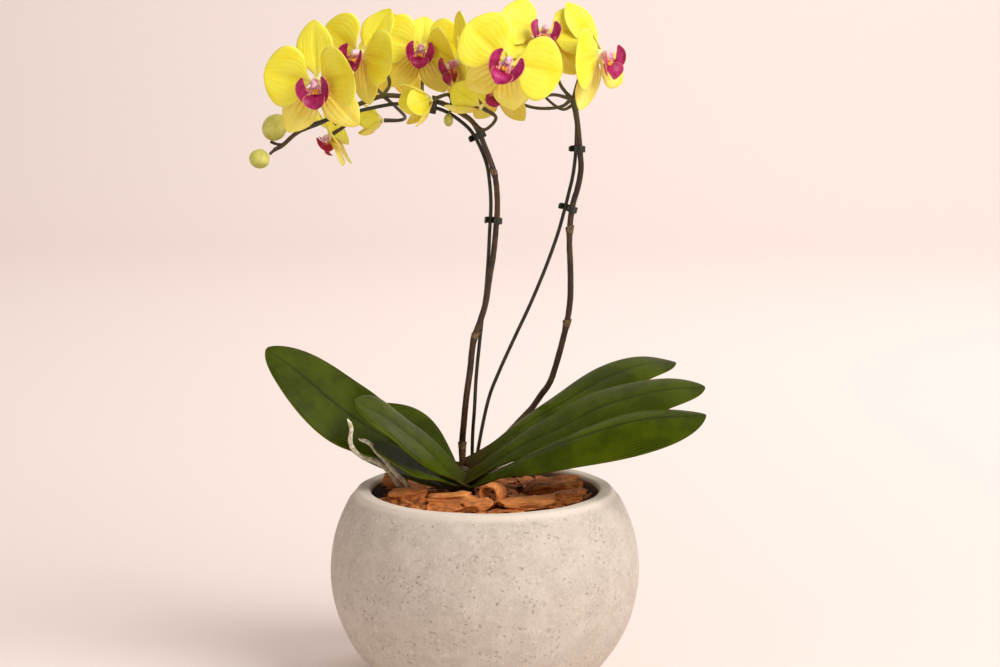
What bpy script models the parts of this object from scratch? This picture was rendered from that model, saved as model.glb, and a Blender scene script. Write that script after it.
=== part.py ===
"""Potted moth orchid: a bowl-shaped pot full of bark, strap leaves round a short crown, aerial roots,
and two flower spikes, each clipped to a bent wire stake, with open flowers, half-open ones and buds.

Metres, +Z up. The origin is the centre of the pot's base. The front of the plant faces -Y.
"""

import random
from math import acos, asin, cos, log, pi, radians, sin, sqrt

import bmesh
import bpy
from mathutils import Euler, Matrix, Vector

# Pot: a turned bowl whose outside is one arc
POT_BULGE_RADIUS = 0.1254
POT_ARC = 0.115
POT_ARC_HEIGHT = 0.0956
POT_HEIGHT = 0.162
POT_WALL = 0.010
POT_FLOOR = 0.012
RIM_OUTER = 0.1043
RIM_INNER = 0.0920
RIM_ROUND = 0.003
POT_STEPS = 36

# Planting
GAP = 0.0003
BED_TOP = 0.150
CROWN = Vector((-0.018, 0.008, BED_TOP + GAP))
CROWN_HEIGHT = 0.028
CROWN_RADIUS = 0.007
STAKE_RADIUS = 0.0015
SPIKE_RADIUS = 0.0026
STALK_RADIUS = 0.0013
ROOT_RADIUS = 0.0019
STAKE_DEPTH = 0.050
CLIP_WALL = 0.0010
CLIP_PLAY = 0.0012

LEAF_THICKNESS = 0.0016
LEAF_ROOT = 0.0055

# Flower, at size 1
HUB_RADIUS = 0.005
HUB_DEPTH = 0.0028
TEPAL_THICKNESS = 0.0009
BLADE_END = 0.0018
DORSAL = (0.047, 0.030)
PETAL = (0.039, 0.050)
LATERAL = (0.044, 0.030)

for stale in list(bpy.data.objects):
    bpy.data.objects.remove(stale)

orchid = bpy.data.collections.new("potted_orchid")
workshop = bpy.data.collections.new("cutters")
bpy.context.scene.collection.children.link(orchid)
bpy.context.scene.collection.children.link(workshop)


def finish(name, colour, roughness, metallic=0.0):
    made = bpy.data.materials.new(name)
    made.use_nodes = True
    shader = made.node_tree.nodes["Principled BSDF"]
    shader.inputs["Base Color"].default_value = (*colour, 1)
    shader.inputs["Roughness"].default_value = roughness
    shader.inputs["Metallic"].default_value = metallic
    made.diffuse_color = (*colour, 1)
    return made


STONE = finish("cast_stone", (0.62, 0.58, 0.52), 0.85)
BARK = finish("bark", (0.45, 0.20, 0.09), 0.85)
LEAF = finish("leaf", (0.06, 0.14, 0.01), 0.35)
CROWN_SKIN = finish("crown", (0.10, 0.07, 0.03), 0.6)
ROOT = finish("aerial_root", (0.62, 0.60, 0.50), 0.7)
STEM = finish("flower_stem", (0.07, 0.04, 0.02), 0.5)
WIRE = finish("coated_wire", (0.02, 0.03, 0.01), 0.4)
CLIP = finish("clip_plastic", (0.01, 0.03, 0.01), 0.4)
TEPAL = finish("yellow_tepal", (0.85, 0.72, 0.10), 0.5)
LIP = finish("magenta_lip", (0.45, 0.02, 0.15), 0.45)
BUD = finish("bud", (0.60, 0.65, 0.20), 0.5)


def put(name, mesh, material, folder=orchid):
    """Makes an object of a mesh or a bmesh, smooth except at its edges."""
    if isinstance(mesh, bmesh.types.BMesh):
        made = bpy.data.meshes.new(name)
        mesh.to_mesh(made)
        mesh.free()
        mesh = made
    mesh.materials.clear()
    mesh.materials.append(material)
    mesh.shade_smooth()
    mesh.set_sharp_from_angle(angle=radians(40))
    piece = bpy.data.objects.new(name, mesh)
    folder.objects.link(piece)
    if folder is workshop:
        piece.hide_render = True
        piece.display_type = "WIRE"
    return piece


def thicken(piece, thickness):
    """Gives an open sheet its thickness, half to each side."""
    wall = piece.modifiers.new("thickness", "SOLIDIFY")
    wall.thickness = thickness
    wall.offset = 0
    return piece


def boolean(piece, operation, others):
    """Cuts the others from the piece, or grows them onto it, all in one step."""
    group = bpy.data.collections.new(piece.name + "_" + operation.lower())
    workshop.children.link(group)
    for other in others:
        for folder in other.users_collection:
            folder.objects.unlink(other)
        group.objects.link(other)
        other.hide_render = True
        other.display_type = "WIRE"
    step = piece.modifiers.new(operation.lower(), "BOOLEAN")
    step.operation = operation
    step.operand_type = "COLLECTION"
    step.collection = group
    step.solver = "EXACT"


def along(points, places):
    """Points on the smooth curve through the given ones, at places from 0 to 1."""
    knots = [Vector(p) for p in points]
    spans = len(knots) - 1
    padded = [2 * knots[0] - knots[1], *knots, 2 * knots[-1] - knots[-2]]
    found = []
    for place in places:
        span = min(int(place * spans), spans - 1)
        t = place * spans - span
        a, b, c, d = padded[span:span + 4]
        found.append(
            0.5 * (2 * b + (c - a) * t + (2 * a - 5 * b + 4 * c - d) * t**2 + (3 * b - a - 3 * c + d) * t**3)
        )
    return found


def tube(name, points, radius, material, folder=orchid, taper=1.0, per_span=2, resolution=2):
    """A rod of round section along the smooth curve through the points, narrowing to taper times its radius."""
    count = per_span * (len(points) - 1)
    route = along(points, [i / count for i in range(count + 1)])
    line = bpy.data.curves.new(name, "CURVE")
    line.dimensions = "3D"
    line.bevel_depth = radius
    line.bevel_resolution = resolution
    line.use_fill_caps = True
    line.resolution_u = 1
    spline = line.splines.new("POLY")
    spline.points.add(count)
    for i, place in enumerate(route):
        spline.points[i].co = (*place, 1)
        spline.points[i].radius = 1 + (taper - 1) * i / count
    guide = bpy.data.objects.new(name, line)
    bpy.context.scene.collection.objects.link(guide)
    bpy.context.view_layer.update()
    mesh = bpy.data.meshes.new_from_object(guide.evaluated_get(bpy.context.evaluated_depsgraph_get()))
    bpy.data.objects.remove(guide)
    bm = bmesh.new()
    bm.from_mesh(mesh)
    bmesh.ops.remove_doubles(bm, verts=bm.verts, dist=1e-6)
    bmesh.ops.recalc_face_normals(bm, faces=bm.faces)
    bpy.data.meshes.remove(mesh)
    return put(name, bm, material, folder)


def turned(name, profile, material, steps, centre=(0, 0, 0)):
    """A profile of (radius, height) pairs, from the top down the outside, turned round the Z axis."""
    mesh = bpy.data.meshes.new(name)
    corners = [(radius, 0, height) for radius, height in profile]
    mesh.from_pydata(corners, [(i, i + 1) for i in range(len(corners) - 1)], [])
    piece = put(name, mesh, material)
    piece.location = centre
    screw = piece.modifiers.new("turn", "SCREW")
    screw.steps = steps
    screw.render_steps = steps
    screw.use_merge_vertices = True
    screw.merge_threshold = 0.0001
    return piece


# The pot --------------------------------------------------------------------------------------------

def pot_radius(height, inset=0.0):
    """Outer radius of the bowl at a height, or the radius of its inner wall with an inset."""
    arc = POT_ARC - inset
    return POT_BULGE_RADIUS - POT_ARC + sqrt(arc**2 - (height - POT_ARC_HEIGHT) ** 2)


def bowl_heights(low, high, count):
    """Heights evenly spaced round the arc, from low to high."""
    first = asin((low - POT_ARC_HEIGHT) / POT_ARC)
    last = asin((high - POT_ARC_HEIGHT) / POT_ARC)
    return [POT_ARC_HEIGHT + POT_ARC * sin(first + (last - first) * i / count) for i in range(count + 1)]


NECK = POT_HEIGHT - 2 * RIM_ROUND
inner = [(pot_radius(z, POT_WALL), z) for z in bowl_heights(POT_FLOOR, NECK - POT_WALL / 2, 6)]
crest = [
    (RIM_INNER, NECK),
    (RIM_INNER + RIM_ROUND * 0.3, POT_HEIGHT - RIM_ROUND * 0.3),
    (RIM_INNER + RIM_ROUND, POT_HEIGHT),
    (RIM_OUTER - RIM_ROUND, POT_HEIGHT),
    (RIM_OUTER, POT_HEIGHT - RIM_ROUND * 0.4),
]
outer = [(pot_radius(z), z) for z in reversed(bowl_heights(RIM_ROUND, NECK, 9))]
foot = [(pot_radius(0) - RIM_ROUND, 0), (0, 0)]
turned("pot", [(0, POT_FLOOR), *inner, *crest, *outer, *foot], STONE, POT_STEPS)

# The bark bed, with the stakes' holes ---------------------------------------------------------------

bed_low = POT_FLOOR + GAP
bed_side = [(pot_radius(z, POT_WALL + 0.001), z) for z in reversed(bowl_heights(bed_low, BED_TOP, 6))]
bed = turned("bark_bed", [(0, BED_TOP), *bed_side, (0, bed_low)], BARK, POT_STEPS)

STAKE_A_FOOT = Vector((-0.0095, 0.030, BED_TOP))
STAKE_B_FOOT = Vector((-0.011, 0.039, BED_TOP))
holes = []
for i, place in enumerate((STAKE_A_FOOT, STAKE_B_FOOT)):
    drill = bmesh.new()
    bmesh.ops.create_cone(drill, cap_ends=True, segments=10, radius1=0.0022, radius2=0.0022, depth=0.12)
    bmesh.ops.translate(drill, verts=drill.verts, vec=place + Vector((0, 0, 0.06 - STAKE_DEPTH - 0.001)))
    holes.append(put(f"stake_drill_{i}", drill, BARK, workshop))
boolean(bed, "DIFFERENCE", holes)

# The loose chips on top -----------------------------------------------------------------------------


def chip(name, centre, size, heading, seed):
    """A torn slab of bark: a block with broken edges, lying on the bed."""
    rough = random.Random(seed)
    bm = bmesh.new()
    bmesh.ops.create_cube(bm, size=1)
    bmesh.ops.scale(bm, vec=size, verts=bm.verts)
    bmesh.ops.bevel(
        bm, geom=bm.edges, offset=min(size) * 0.3, affect="EDGES", segments=1, profile=0.5, material=-1
    )
    for vert in bm.verts:
        lean = 1 + 0.14 * rough.uniform(-1, 1)
        vert.co.x *= lean
        vert.co.y *= 1 + 0.18 * rough.uniform(-1, 1)
    bmesh.ops.rotate(bm, verts=bm.verts, matrix=Matrix.Rotation(radians(heading), 3, "Z"))
    x, y = centre
    bmesh.ops.translate(bm, verts=bm.verts, vec=(x, y, BED_TOP + GAP + size[2] / 2))
    bmesh.ops.recalc_face_normals(bm, faces=bm.faces)
    return put(name, bm, BARK)


def curled_chip(name, centre, radius, width, wall, heading):
    """A strip of bark curled into most of a ring, lying on its side."""
    bm = bmesh.new()
    bmesh.ops.create_grid(bm, x_segments=8, y_segments=1, size=1)
    for vert in bm.verts:
        turn = radians(-60 + 260 * (vert.co.x + 1) / 2)
        vert.co = Vector((radius * cos(turn), vert.co.y * width / 2, radius * sin(turn)))
    bmesh.ops.rotate(bm, verts=bm.verts, matrix=Matrix.Rotation(radians(heading), 3, "Z"))
    lowest = min(vert.co.z for vert in bm.verts) - wall / 2
    x, y = centre
    bmesh.ops.translate(bm, verts=bm.verts, vec=(x, y, BED_TOP + GAP - lowest))
    return thicken(put(name, bm, BARK), wall)


curled_chip("bark_chip_01", (-0.074, 0.028), 0.0065, 0.018, 0.0025, 70)
chip("bark_chip_02", (-0.062, -0.011), (0.026, 0.013, 0.010), 15, 2)
chip("bark_chip_03", (-0.027, -0.024), (0.036, 0.014, 0.010), -8, 3)
chip("bark_chip_04", (-0.006, -0.042), (0.022, 0.013, 0.008), 25, 4)
curled_chip("bark_chip_05", (0.006, -0.020), 0.0070, 0.016, 0.0028, -60)
chip("bark_chip_06", (0.034, -0.034), (0.040, 0.017, 0.008), 8, 6)
chip("bark_chip_07", (0.066, -0.016), (0.024, 0.018, 0.009), -20, 7)
chip("bark_chip_08", (0.056, 0.022), (0.046, 0.022, 0.010), 12, 8)

# The crown and the leaves ---------------------------------------------------------------------------

CROWN_PROFILE = [
    (0, CROWN_HEIGHT),
    (CROWN_RADIUS * 0.55, CROWN_HEIGHT * 0.96),
    (CROWN_RADIUS * 0.9, CROWN_HEIGHT * 0.75),
    (CROWN_RADIUS, CROWN_HEIGHT * 0.4),
    (CROWN_RADIUS * 0.85, 0),
    (0, 0),
]
turned("crown", CROWN_PROFILE, CROWN_SKIN, 12, CROWN)


def outline(place, widest, fullness):
    """Half width of a blade at a place along it, from 0 to 1, as a share of its greatest. The lower the
    fullness, the rounder its ends."""
    shifted = place ** (log(0.5) / log(widest))
    return max(sin(pi * shifted), 0) ** fullness


def leaf(name, midrib, width, near, far):
    """A strap leaf along its midrib. Its near half hangs by near and its far half rises by far, in degrees."""
    bm = bmesh.new()
    bmesh.ops.create_grid(bm, x_segments=4, y_segments=8, size=1)
    for vert in bm.verts:
        share = (1 - cos(acos(-vert.co.y))) / 2
        before, here, after = along(midrib, [max(share - 0.02, 0), share, min(share + 0.02, 1)])
        ahead = (after - before).normalized()
        side = ahead.cross(Vector((0, 0, 1))).normalized()
        side = -side if side.y > 0 else side
        up = side.cross(ahead)
        up = -up if up.z < 0 else up
        tilt = radians(near if vert.co.x > 0 else far)
        half = width / 2 * outline(share, 0.62, 0.6)
        half = max(half, LEAF_ROOT if share < 0.3 else LEAF_THICKNESS)
        vert.co = here + half * vert.co.x * (cos(tilt) * side - sin(tilt) * up)
    return thicken(put(name, bm, LEAF), LEAF_THICKNESS)


LEAVES = {
    "leaf_left_long": (
        [(-0.0265, 0.012, 0.171), (-0.061, 0.014, 0.188), (-0.090, 0.018, 0.205), (-0.118, 0.024, 0.223),
         (-0.150, 0.030, 0.249), (-0.178, 0.034, 0.268)], 0.062, 30, 48),
    "leaf_left_front": (
        [(-0.0265, 0.0, 0.175), (-0.044, -0.010, 0.194), (-0.064, -0.018, 0.211), (-0.083, -0.026, 0.227),
         (-0.102, -0.034, 0.237)], 0.046, 24, 34),
    "leaf_left_back": (
        [(-0.0265, 0.022, 0.172), (-0.034, 0.028, 0.179), (-0.050, 0.038, 0.195), (-0.070, 0.048, 0.209),
         (-0.094, 0.058, 0.219)], 0.032, 18, 34),
    "leaf_left_under": (
        [(-0.0265, -0.004, 0.166), (-0.045, -0.012, 0.178), (-0.065, -0.018, 0.189), (-0.088, -0.022, 0.199)],
        0.038, 12, 24),
    "leaf_left_lowest": (
        [(-0.0265, 0.008, 0.160), (-0.053, 0.014, 0.170), (-0.081, 0.020, 0.179), (-0.113, 0.024, 0.193)],
        0.034, 6, 20),
    "leaf_right_back": (
        [(-0.006, 0.018, 0.181), (0.030, 0.030, 0.206), (0.064, 0.042, 0.224), (0.098, 0.050, 0.242),
         (0.130, 0.055, 0.253), (0.157, 0.058, 0.254)], 0.040, 10, 14),
    "leaf_right_middle": (
        [(-0.0095, 0.004, 0.173), (0.026, -0.002, 0.194), (0.061, -0.005, 0.212), (0.095, -0.008, 0.230),
         (0.140, -0.012, 0.243), (0.175, -0.016, 0.246)], 0.046, 14, 16),
    "leaf_right_front": (
        [(-0.0095, -0.006, 0.167), (0.018, -0.022, 0.183), (0.043, -0.033, 0.197), (0.080, -0.042, 0.213),
         (0.124, -0.046, 0.226), (0.173, -0.050, 0.230)], 0.050, 34, 4),
}
for leaf_name, (midrib, width, near, far) in LEAVES.items():
    leaf(leaf_name, midrib, width, near, far)

# The aerial roots -----------------------------------------------------------------------------------

ROOT_OUTER = [
    (-0.064, 0.014, 0.1515), (-0.072, 0.004, 0.166), (-0.078, -0.006, 0.177), (-0.088, -0.016, 0.187),
    (-0.097, -0.026, 0.192), (-0.104, -0.036, 0.201), (-0.106, -0.042, 0.209), (-0.105, -0.045, 0.220),
    (-0.108, -0.045, 0.227),
]
ROOT_INNER = [
    (-0.057, 0.004, 0.1515), (-0.064, 0.000, 0.165), (-0.073, -0.006, 0.176), (-0.081, -0.009, 0.187),
    (-0.087, -0.012, 0.194), (-0.092, -0.018, 0.202), (-0.101, -0.020, 0.206),
]
tube("aerial_root_outer", ROOT_OUTER, ROOT_RADIUS, ROOT, taper=0.8)
tube("aerial_root_inner", ROOT_INNER, ROOT_RADIUS, ROOT, taper=0.8)

# The flower spikes and their stakes -----------------------------------------------------------------

SPIKE_A = [
    (-0.018, 0.0195, 0.156), (-0.0185, 0.018, 0.193), (-0.017, 0.010, 0.214), (-0.015, 0.003, 0.235),
    (-0.012, 0, 0.257), (-0.009, 0, 0.282), (-0.003, 0, 0.300), (0.001, 0, 0.314), (0.004, 0, 0.334),
    (0.007, 0, 0.352), (0.009, 0, 0.372), (0.0102, 0, 0.392), (0.009, 0, 0.410), (0.006, 0, 0.423),
    (0.001, 0, 0.436), (-0.003, 0, 0.446), (-0.009, 0, 0.457), (-0.018, 0, 0.464), (-0.033, 0, 0.472),
    (-0.048, 0.001, 0.4755), (-0.064, 0.002, 0.4775), (-0.080, 0.001, 0.478), (-0.098, 0, 0.472),
    (-0.114, -0.002, 0.465), (-0.130, -0.004, 0.457), (-0.147, -0.006, 0.450), (-0.159, -0.008, 0.440),
    (-0.166, -0.010, 0.436),
]
STAKE_A = [
    (*STAKE_A_FOOT[:2], BED_TOP - STAKE_DEPTH), STAKE_A_FOOT, (-0.0105, 0.026, 0.181), (-0.010, 0.020, 0.203),
    (-0.0085, 0.012, 0.224), (-0.007, 0.008, 0.251), (-0.004, 0.006, 0.282), (-0.001, 0.0055, 0.308),
    (0.001, 0.0055, 0.323), (0.003, 0.004, 0.350), (0.004, 0.003, 0.371), (0.005, 0.003, 0.391),
    (0.004, 0.003, 0.409), (0.001, 0.004, 0.426), (-0.008, 0.005, 0.446), (-0.018, 0.0055, 0.457),
    (-0.033, 0.004, 0.4665), (-0.050, -0.001, 0.4705), (-0.068, -0.004, 0.472), (-0.080, -0.004, 0.4705),
    (-0.097, -0.006, 0.467), (-0.114, -0.008, 0.4625), (-0.126, -0.010, 0.459), (-0.140, -0.012, 0.455),
]
SPIKE_B = [
    (0.001, 0.036, 0.156), (0.006, 0.046, 0.176), (0.016, 0.054, 0.192), (0.027, 0.058, 0.204),
    (0.039, 0.058, 0.217), (0.046, 0.055, 0.228), (0.054, 0.050, 0.241), (0.061, 0.044, 0.265),
    (0.067, 0.038, 0.292), (0.0695, 0.034, 0.312), (0.0695, 0.031, 0.336), (0.0685, 0.029, 0.357),
    (0.069, 0.028, 0.373), (0.071, 0.028, 0.389), (0.075, 0.028, 0.403), (0.0775, 0.028, 0.418),
    (0.0765, 0.028, 0.434), (0.075, 0.028, 0.450), (0.073, 0.028, 0.464), (0.070, 0.028, 0.475),
]
STAKE_B = [
    (*STAKE_B_FOOT[:2], BED_TOP - STAKE_DEPTH), STAKE_B_FOOT, (-0.0055, 0.037, 0.188), (0.0025, 0.036, 0.227),
    (0.011, 0.036, 0.250), (0.024, 0.036, 0.279), (0.037, 0.036, 0.307), (0.049, 0.036, 0.336),
    (0.058, 0.036, 0.361), (0.063, 0.036, 0.378), (0.068, 0.035, 0.398), (0.0715, 0.034, 0.414),
    (0.0735, 0.0335, 0.433), (0.074, 0.0335, 0.455), (0.074, 0.0335, 0.475),
]
tube("stake_left", STAKE_A, STAKE_RADIUS, WIRE, per_span=1)
tube("stake_right", STAKE_B, STAKE_RADIUS, WIRE, per_span=1)

# The flowers: hub, then turn to the right, tilt up and clockwise roll of the face in degrees, size and
# closing in degrees, then the spike and the way that the flower's stalk takes from it
FLOWERS = {
    "flower_01": ((-0.133, -0.036, 0.494), -12, 0, -4, 1.00, 4, "left",
                  [(-0.107, -0.001, 0.469), (-0.125, -0.006, 0.487)]),
    "flower_02": ((-0.095, 0.017, 0.509), -50, 4, 21, 0.78, 8, "left",
                  [(-0.080, 0.001, 0.478), (-0.076, 0.018, 0.490)]),
    "flower_03": ((-0.051, 0.036, 0.511), 0, -36, 6, 0.72, 6, "left",
                  [(-0.048, 0.001, 0.4755), (-0.050, 0.030, 0.472), (-0.051, 0.058, 0.492)]),
    "flower_04": ((-0.076, 0.074, 0.510), 165, 0, 0, 0.66, 6, "left",
                  [(-0.080, 0.001, 0.478), (-0.088, 0.030, 0.486), (-0.085, 0.048, 0.503)]),
    "flower_05": ((-0.042, -0.024, 0.479), -70, -15, 0, 0.56, 52, "left",
                  [(-0.033, 0, 0.472), (-0.026, -0.010, 0.472)]),
    "flower_06": ((-0.0085, -0.0225, 0.4685), -118, 33, 3, 0.58, 50, "left",
                  [(-0.009, 0, 0.457), (0.000, -0.012, 0.452)]),
    "flower_07": ((0.018, -0.062, 0.508), 3, -5, 20, 0.98, 4, "right",
                  [(0.070, 0.028, 0.474), (0.057, 0.018, 0.478), (0.042, -0.008, 0.480), (0.024, -0.030, 0.496)]),
    "flower_08": ((0.050, -0.030, 0.523), 14, -42, 24, 0.84, 6, "right",
                  [(0.0695, 0.028, 0.4745), (0.060, 0.022, 0.487), (0.056, 0.010, 0.505), (0.050, 0.0, 0.525)]),
    "flower_09": ((0.095, -0.024, 0.510), 60, -10, -10, 0.82, 6, "right",
                  [(0.071, 0.028, 0.474), (0.074, 0.022, 0.487), (0.079, 0.006, 0.505)]),
    "flower_10": ((-0.083, 0.030, 0.457), -80, 0, 0, 0.50, 50, "left",
                  [(-0.080, 0.001, 0.478), (-0.070, 0.012, 0.468), (-0.064, 0.026, 0.460)]),
    "flower_11": ((0.014, 0.026, 0.479), -20, -12, 0, 0.68, 6, "right",
                  [(0.070, 0.028, 0.474), (0.060, 0.040, 0.467), (0.040, 0.052, 0.466), (0.024, 0.052, 0.473)]),
    "flower_12": ((-0.127, 0.032, 0.443), -105, -30, 0, 0.62, 18, "left",
                  [(-0.114, -0.002, 0.465), (-0.110, 0.014, 0.460)]),
    "flower_13": ((-0.0305, 0.0005, 0.5115), -58, 3, 12, 0.72, 8, "left",
                  [(-0.022, 0, 0.4665), (-0.016, 0.006, 0.485)]),
}


def stance(turn, tilt, roll):
    """The rotation of a flower that faces -Y with its back sepal up."""
    return Euler((radians(-tilt), 0, radians(turn))).to_matrix() @ Matrix.Rotation(radians(roll), 3, "Y")


def stalks(which, others):
    """The flower stalks of one spike, each curving from the spike to the back of its flower."""
    made = []
    for flower, (hub, turn, tilt, roll, size, _, spike, way) in FLOWERS.items():
        if spike == which:
            back = stance(turn, tilt, roll) @ Vector((0, 1, 0))
            end = Vector(hub) + back * (HUB_DEPTH * size + 2 * GAP)
            route = [*way, Vector(hub) + back * 0.015, end]
            made.append(tube(flower + "_stalk", route, STALK_RADIUS, STEM, workshop, 1, 2, 1))
    return made + others


def bud_stalk(name, points):
    return tube(name, points, STALK_RADIUS * 0.85, STEM, workshop, 1, 2, 1)


spike_a = tube("flower_spike_left", SPIKE_A, SPIKE_RADIUS, STEM, taper=0.62, per_span=1)
twigs_a = [
    bud_stalk("end_bud_stalk", [(-0.1655, -0.010, 0.4362), (-0.1675, -0.0105, 0.4345), (-0.1695, -0.011, 0.4327)]),
    bud_stalk("large_bud_stalk", [(-0.147, -0.006, 0.450), (-0.151, -0.008, 0.456), (-0.156, -0.009, 0.4575)]),
    bud_stalk("bare_stalk", [(-0.159, -0.008, 0.440), (-0.164, -0.008, 0.4405), (-0.169, -0.008, 0.4425)]),
    bud_stalk("small_bud_stalk", [(-0.0265, 0, 0.4685), (-0.027, -0.0015, 0.4665), (-0.0275, -0.002, 0.465)]),
]
boolean(spike_a, "UNION", stalks("left", twigs_a))
spike_b = tube("flower_spike_right", SPIKE_B, SPIKE_RADIUS, STEM, taper=0.85, per_span=1)
twigs_b = [
    bud_stalk("young_tip", [(0.0715, 0.028, 0.470), (0.063, 0.025, 0.466), (0.054, 0.021, 0.471), (0.045, 0.018, 0.480)]),
    bud_stalk("old_stub", [(0.071, 0.028, 0.473), (0.075, 0.024, 0.480), (0.080, 0.021, 0.486)]),
]
boolean(spike_b, "UNION", stalks("right", twigs_b))

# The clips that tie each spike to its stake ---------------------------------------------------------


def clip(name, spike_side, stake_side, axis, length=0.006):
    """A split ring round a spike and its stake, open at one side, with two finger tabs."""
    a, b = Vector(spike_side), Vector(stake_side)
    up = Vector(axis).normalized()
    side = (b - a) - up * (b - a).dot(up)
    inner = side.length / 2 + SPIKE_RADIUS + CLIP_PLAY
    side.normalize()
    bm = bmesh.new()
    bmesh.ops.create_grid(bm, x_segments=10, y_segments=1, size=1)
    for vert in bm.verts:
        turn = radians(25 + 310 * (vert.co.x + 1) / 2)
        spread = inner * (1 + 0.35 * (abs(vert.co.x) > 0.99))
        height = vert.co.y * length / 2
        vert.co = (a + b) / 2 + up.cross(side) * cos(turn) * spread + side * sin(turn) * spread + up * height
    return thicken(put(name, bm, CLIP), CLIP_WALL)


CLIPS = [
    ((-0.003, 0, 0.446), (-0.008, 0.005, 0.446), (-0.44, 0, 1)),
    ((0.0095, 0, 0.379), (0.0045, 0.003, 0.379), (0.05, 0, 1)),
    ((-0.119, -0.0025, 0.4625), (-0.119, -0.0085, 0.461), (1, 0, 0.5)),
    ((-0.040, 0, 0.4737), (-0.040, 0.003, 0.4682), (1, 0, -0.18)),
    ((0.0765, 0.028, 0.434), (0.0735, 0.0335, 0.434), (0, 0, 1)),
    ((0.0705, 0.028, 0.386), (0.0645, 0.0357, 0.386), (0.25, 0, 1)),
]
for i, (on_spike, on_stake, axis) in enumerate(CLIPS):
    clip(f"clip_{i + 1:02d}", on_spike, on_stake, axis)

# The flowers ----------------------------------------------------------------------------------------


def grow(bm, face, stations):
    """Draws one face of a body out through stations of (centre, half width, half thickness) vectors."""
    middle = face.calc_center_median()
    _, across, deep = stations[0]
    for centre, half, wall in stations:
        face = bmesh.ops.extrude_discrete_faces(bm, faces=[face])["faces"][0]
        for vert in face.verts:
            reach = vert.co - middle
            side = 1 if reach.dot(across) > 0 else -1
            front = 1 if reach.dot(deep) > 0 else -1
            vert.co = centre + half * side + wall * front
        middle, across, deep = centre, half, wall


def face_towards(bm, direction):
    return max(bm.faces, key=lambda face: face.normal.dot(direction))


def blade(length, width, clock, lean, curl, shift, widest=0.56, fullness=0.8):
    """The stations of a petal that grows outwards at a clock angle, leans forward by lean and bends on by
    curl, in degrees, with its root moved to the front by shift."""
    outwards = Vector((sin(radians(clock)), 0, cos(radians(clock))))
    across = Vector((cos(radians(clock)), 0, -sin(radians(clock))))
    forward = Vector((0, -1, 0))
    stations = []
    for share in (0.08, 0.3, 0.56, 0.82, 1.0):
        heading = radians(lean + curl * share / 2)
        facing = radians(lean + curl * share)
        centre = outwards * HUB_RADIUS * 0.9 + forward * shift
        centre += length * share * (cos(heading) * outwards + sin(heading) * forward)
        half = max(width / 2 * outline(share, widest, fullness), BLADE_END)
        wall = (cos(facing) * forward - sin(facing) * outwards) * TEPAL_THICKNESS / 2
        stations.append((centre, across * half, wall))
    return stations


def flower_tepals(name, place, close):
    """Three sepals and, in front of them, two petals, grown as one with the knob they stand on."""
    bm = bmesh.new()
    bmesh.ops.create_cone(
        bm, cap_ends=True, segments=10, radius1=HUB_RADIUS, radius2=HUB_RADIUS, depth=2 * HUB_DEPTH
    )
    bmesh.ops.rotate(bm, verts=bm.verts, matrix=Euler((radians(90), radians(18), 0)).to_matrix())
    bm.normal_update()
    narrow = 1 if close < 30 else 0.6
    petals = {
        0: blade(DORSAL[0], DORSAL[1] * narrow, 0, close - 6, close * 0.7 - 8, -0.0016),
        72: blade(PETAL[0], PETAL[1] * narrow, 75, close, close * 0.9, 0.0012, 0.56, 0.65),
        -72: blade(PETAL[0], PETAL[1] * narrow, -75, close, close * 0.9, 0.0012, 0.56, 0.65),
        144: blade(LATERAL[0], LATERAL[1] * narrow, 143, close - 6, close * 0.7 - 6, -0.0016),
        -144: blade(LATERAL[0], LATERAL[1] * narrow, -143, close - 6, close * 0.7 - 6, -0.0016),
    }
    for clock, stations in petals.items():
        towards = Vector((sin(radians(clock)), 0, cos(radians(clock))))
        grow(bm, face_towards(bm, towards), stations)
        bm.normal_update()
    bm.transform(place)
    return put(name, bm, TEPAL)


def flower_lip(name, place):
    """The lip: a pointed middle lobe, an ear at each side, and the column over them, grown as one."""
    bm = bmesh.new()
    bmesh.ops.create_cube(bm, size=1)
    bmesh.ops.scale(bm, vec=(0.0046, 0.0040, 0.0050), verts=bm.verts)
    bmesh.ops.translate(bm, verts=bm.verts, vec=(0, -HUB_DEPTH - 0.0030, -0.0020))
    bm.normal_update()
    flat = Vector((0, -0.0005, 0))
    middle = [
        (Vector((0, -0.0070, -0.0080)), Vector((0.0035, 0, 0.0004)), flat),
        (Vector((0, -0.0110, -0.0130)), Vector((0.0070, 0, -0.0008)), flat),
        (Vector((0, -0.0130, -0.0180)), Vector((0.0050, 0, 0.0006)), flat),
        (Vector((0, -0.0135, -0.0220)), Vector((0.0012, 0, -0.0002)), flat),
    ]
    column = [
        (Vector((0, -0.0065, 0.0020)), Vector((0.0022, 0.0003, 0)), Vector((0, -0.0018, 0.0010))),
        (Vector((0, -0.0095, 0.0030)), Vector((0.0020, -0.0003, 0)), Vector((0, -0.0010, 0.0014))),
        (Vector((0, -0.0110, 0.0024)), Vector((0.0012, 0.0002, 0)), Vector((0, -0.0004, 0.0008))),
    ]
    for side in (-1, 1):
        ear = [
            (Vector((side * 0.0060, -0.0085, -0.0045)), Vector((0, 0, 0.0030)), flat),
            (Vector((side * 0.0100, -0.0110, -0.0015)), Vector((side * -0.0020, 0, 0.0055)), flat),
            (Vector((side * 0.0122, -0.0120, 0.0035)), Vector((side * -0.0015, 0, 0.0026)), flat),
        ]
        grow(bm, face_towards(bm, Vector((side, 0, 0))), ear)
        bm.normal_update()
    grow(bm, face_towards(bm, Vector((0, 0, -1))), middle)
    bm.normal_update()
    grow(bm, max(bm.faces, key=lambda face: face.normal.z - 100 * face.calc_center_median().xy.length), column)
    bm.transform(place)
    return put(name, bm, LIP)


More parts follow.
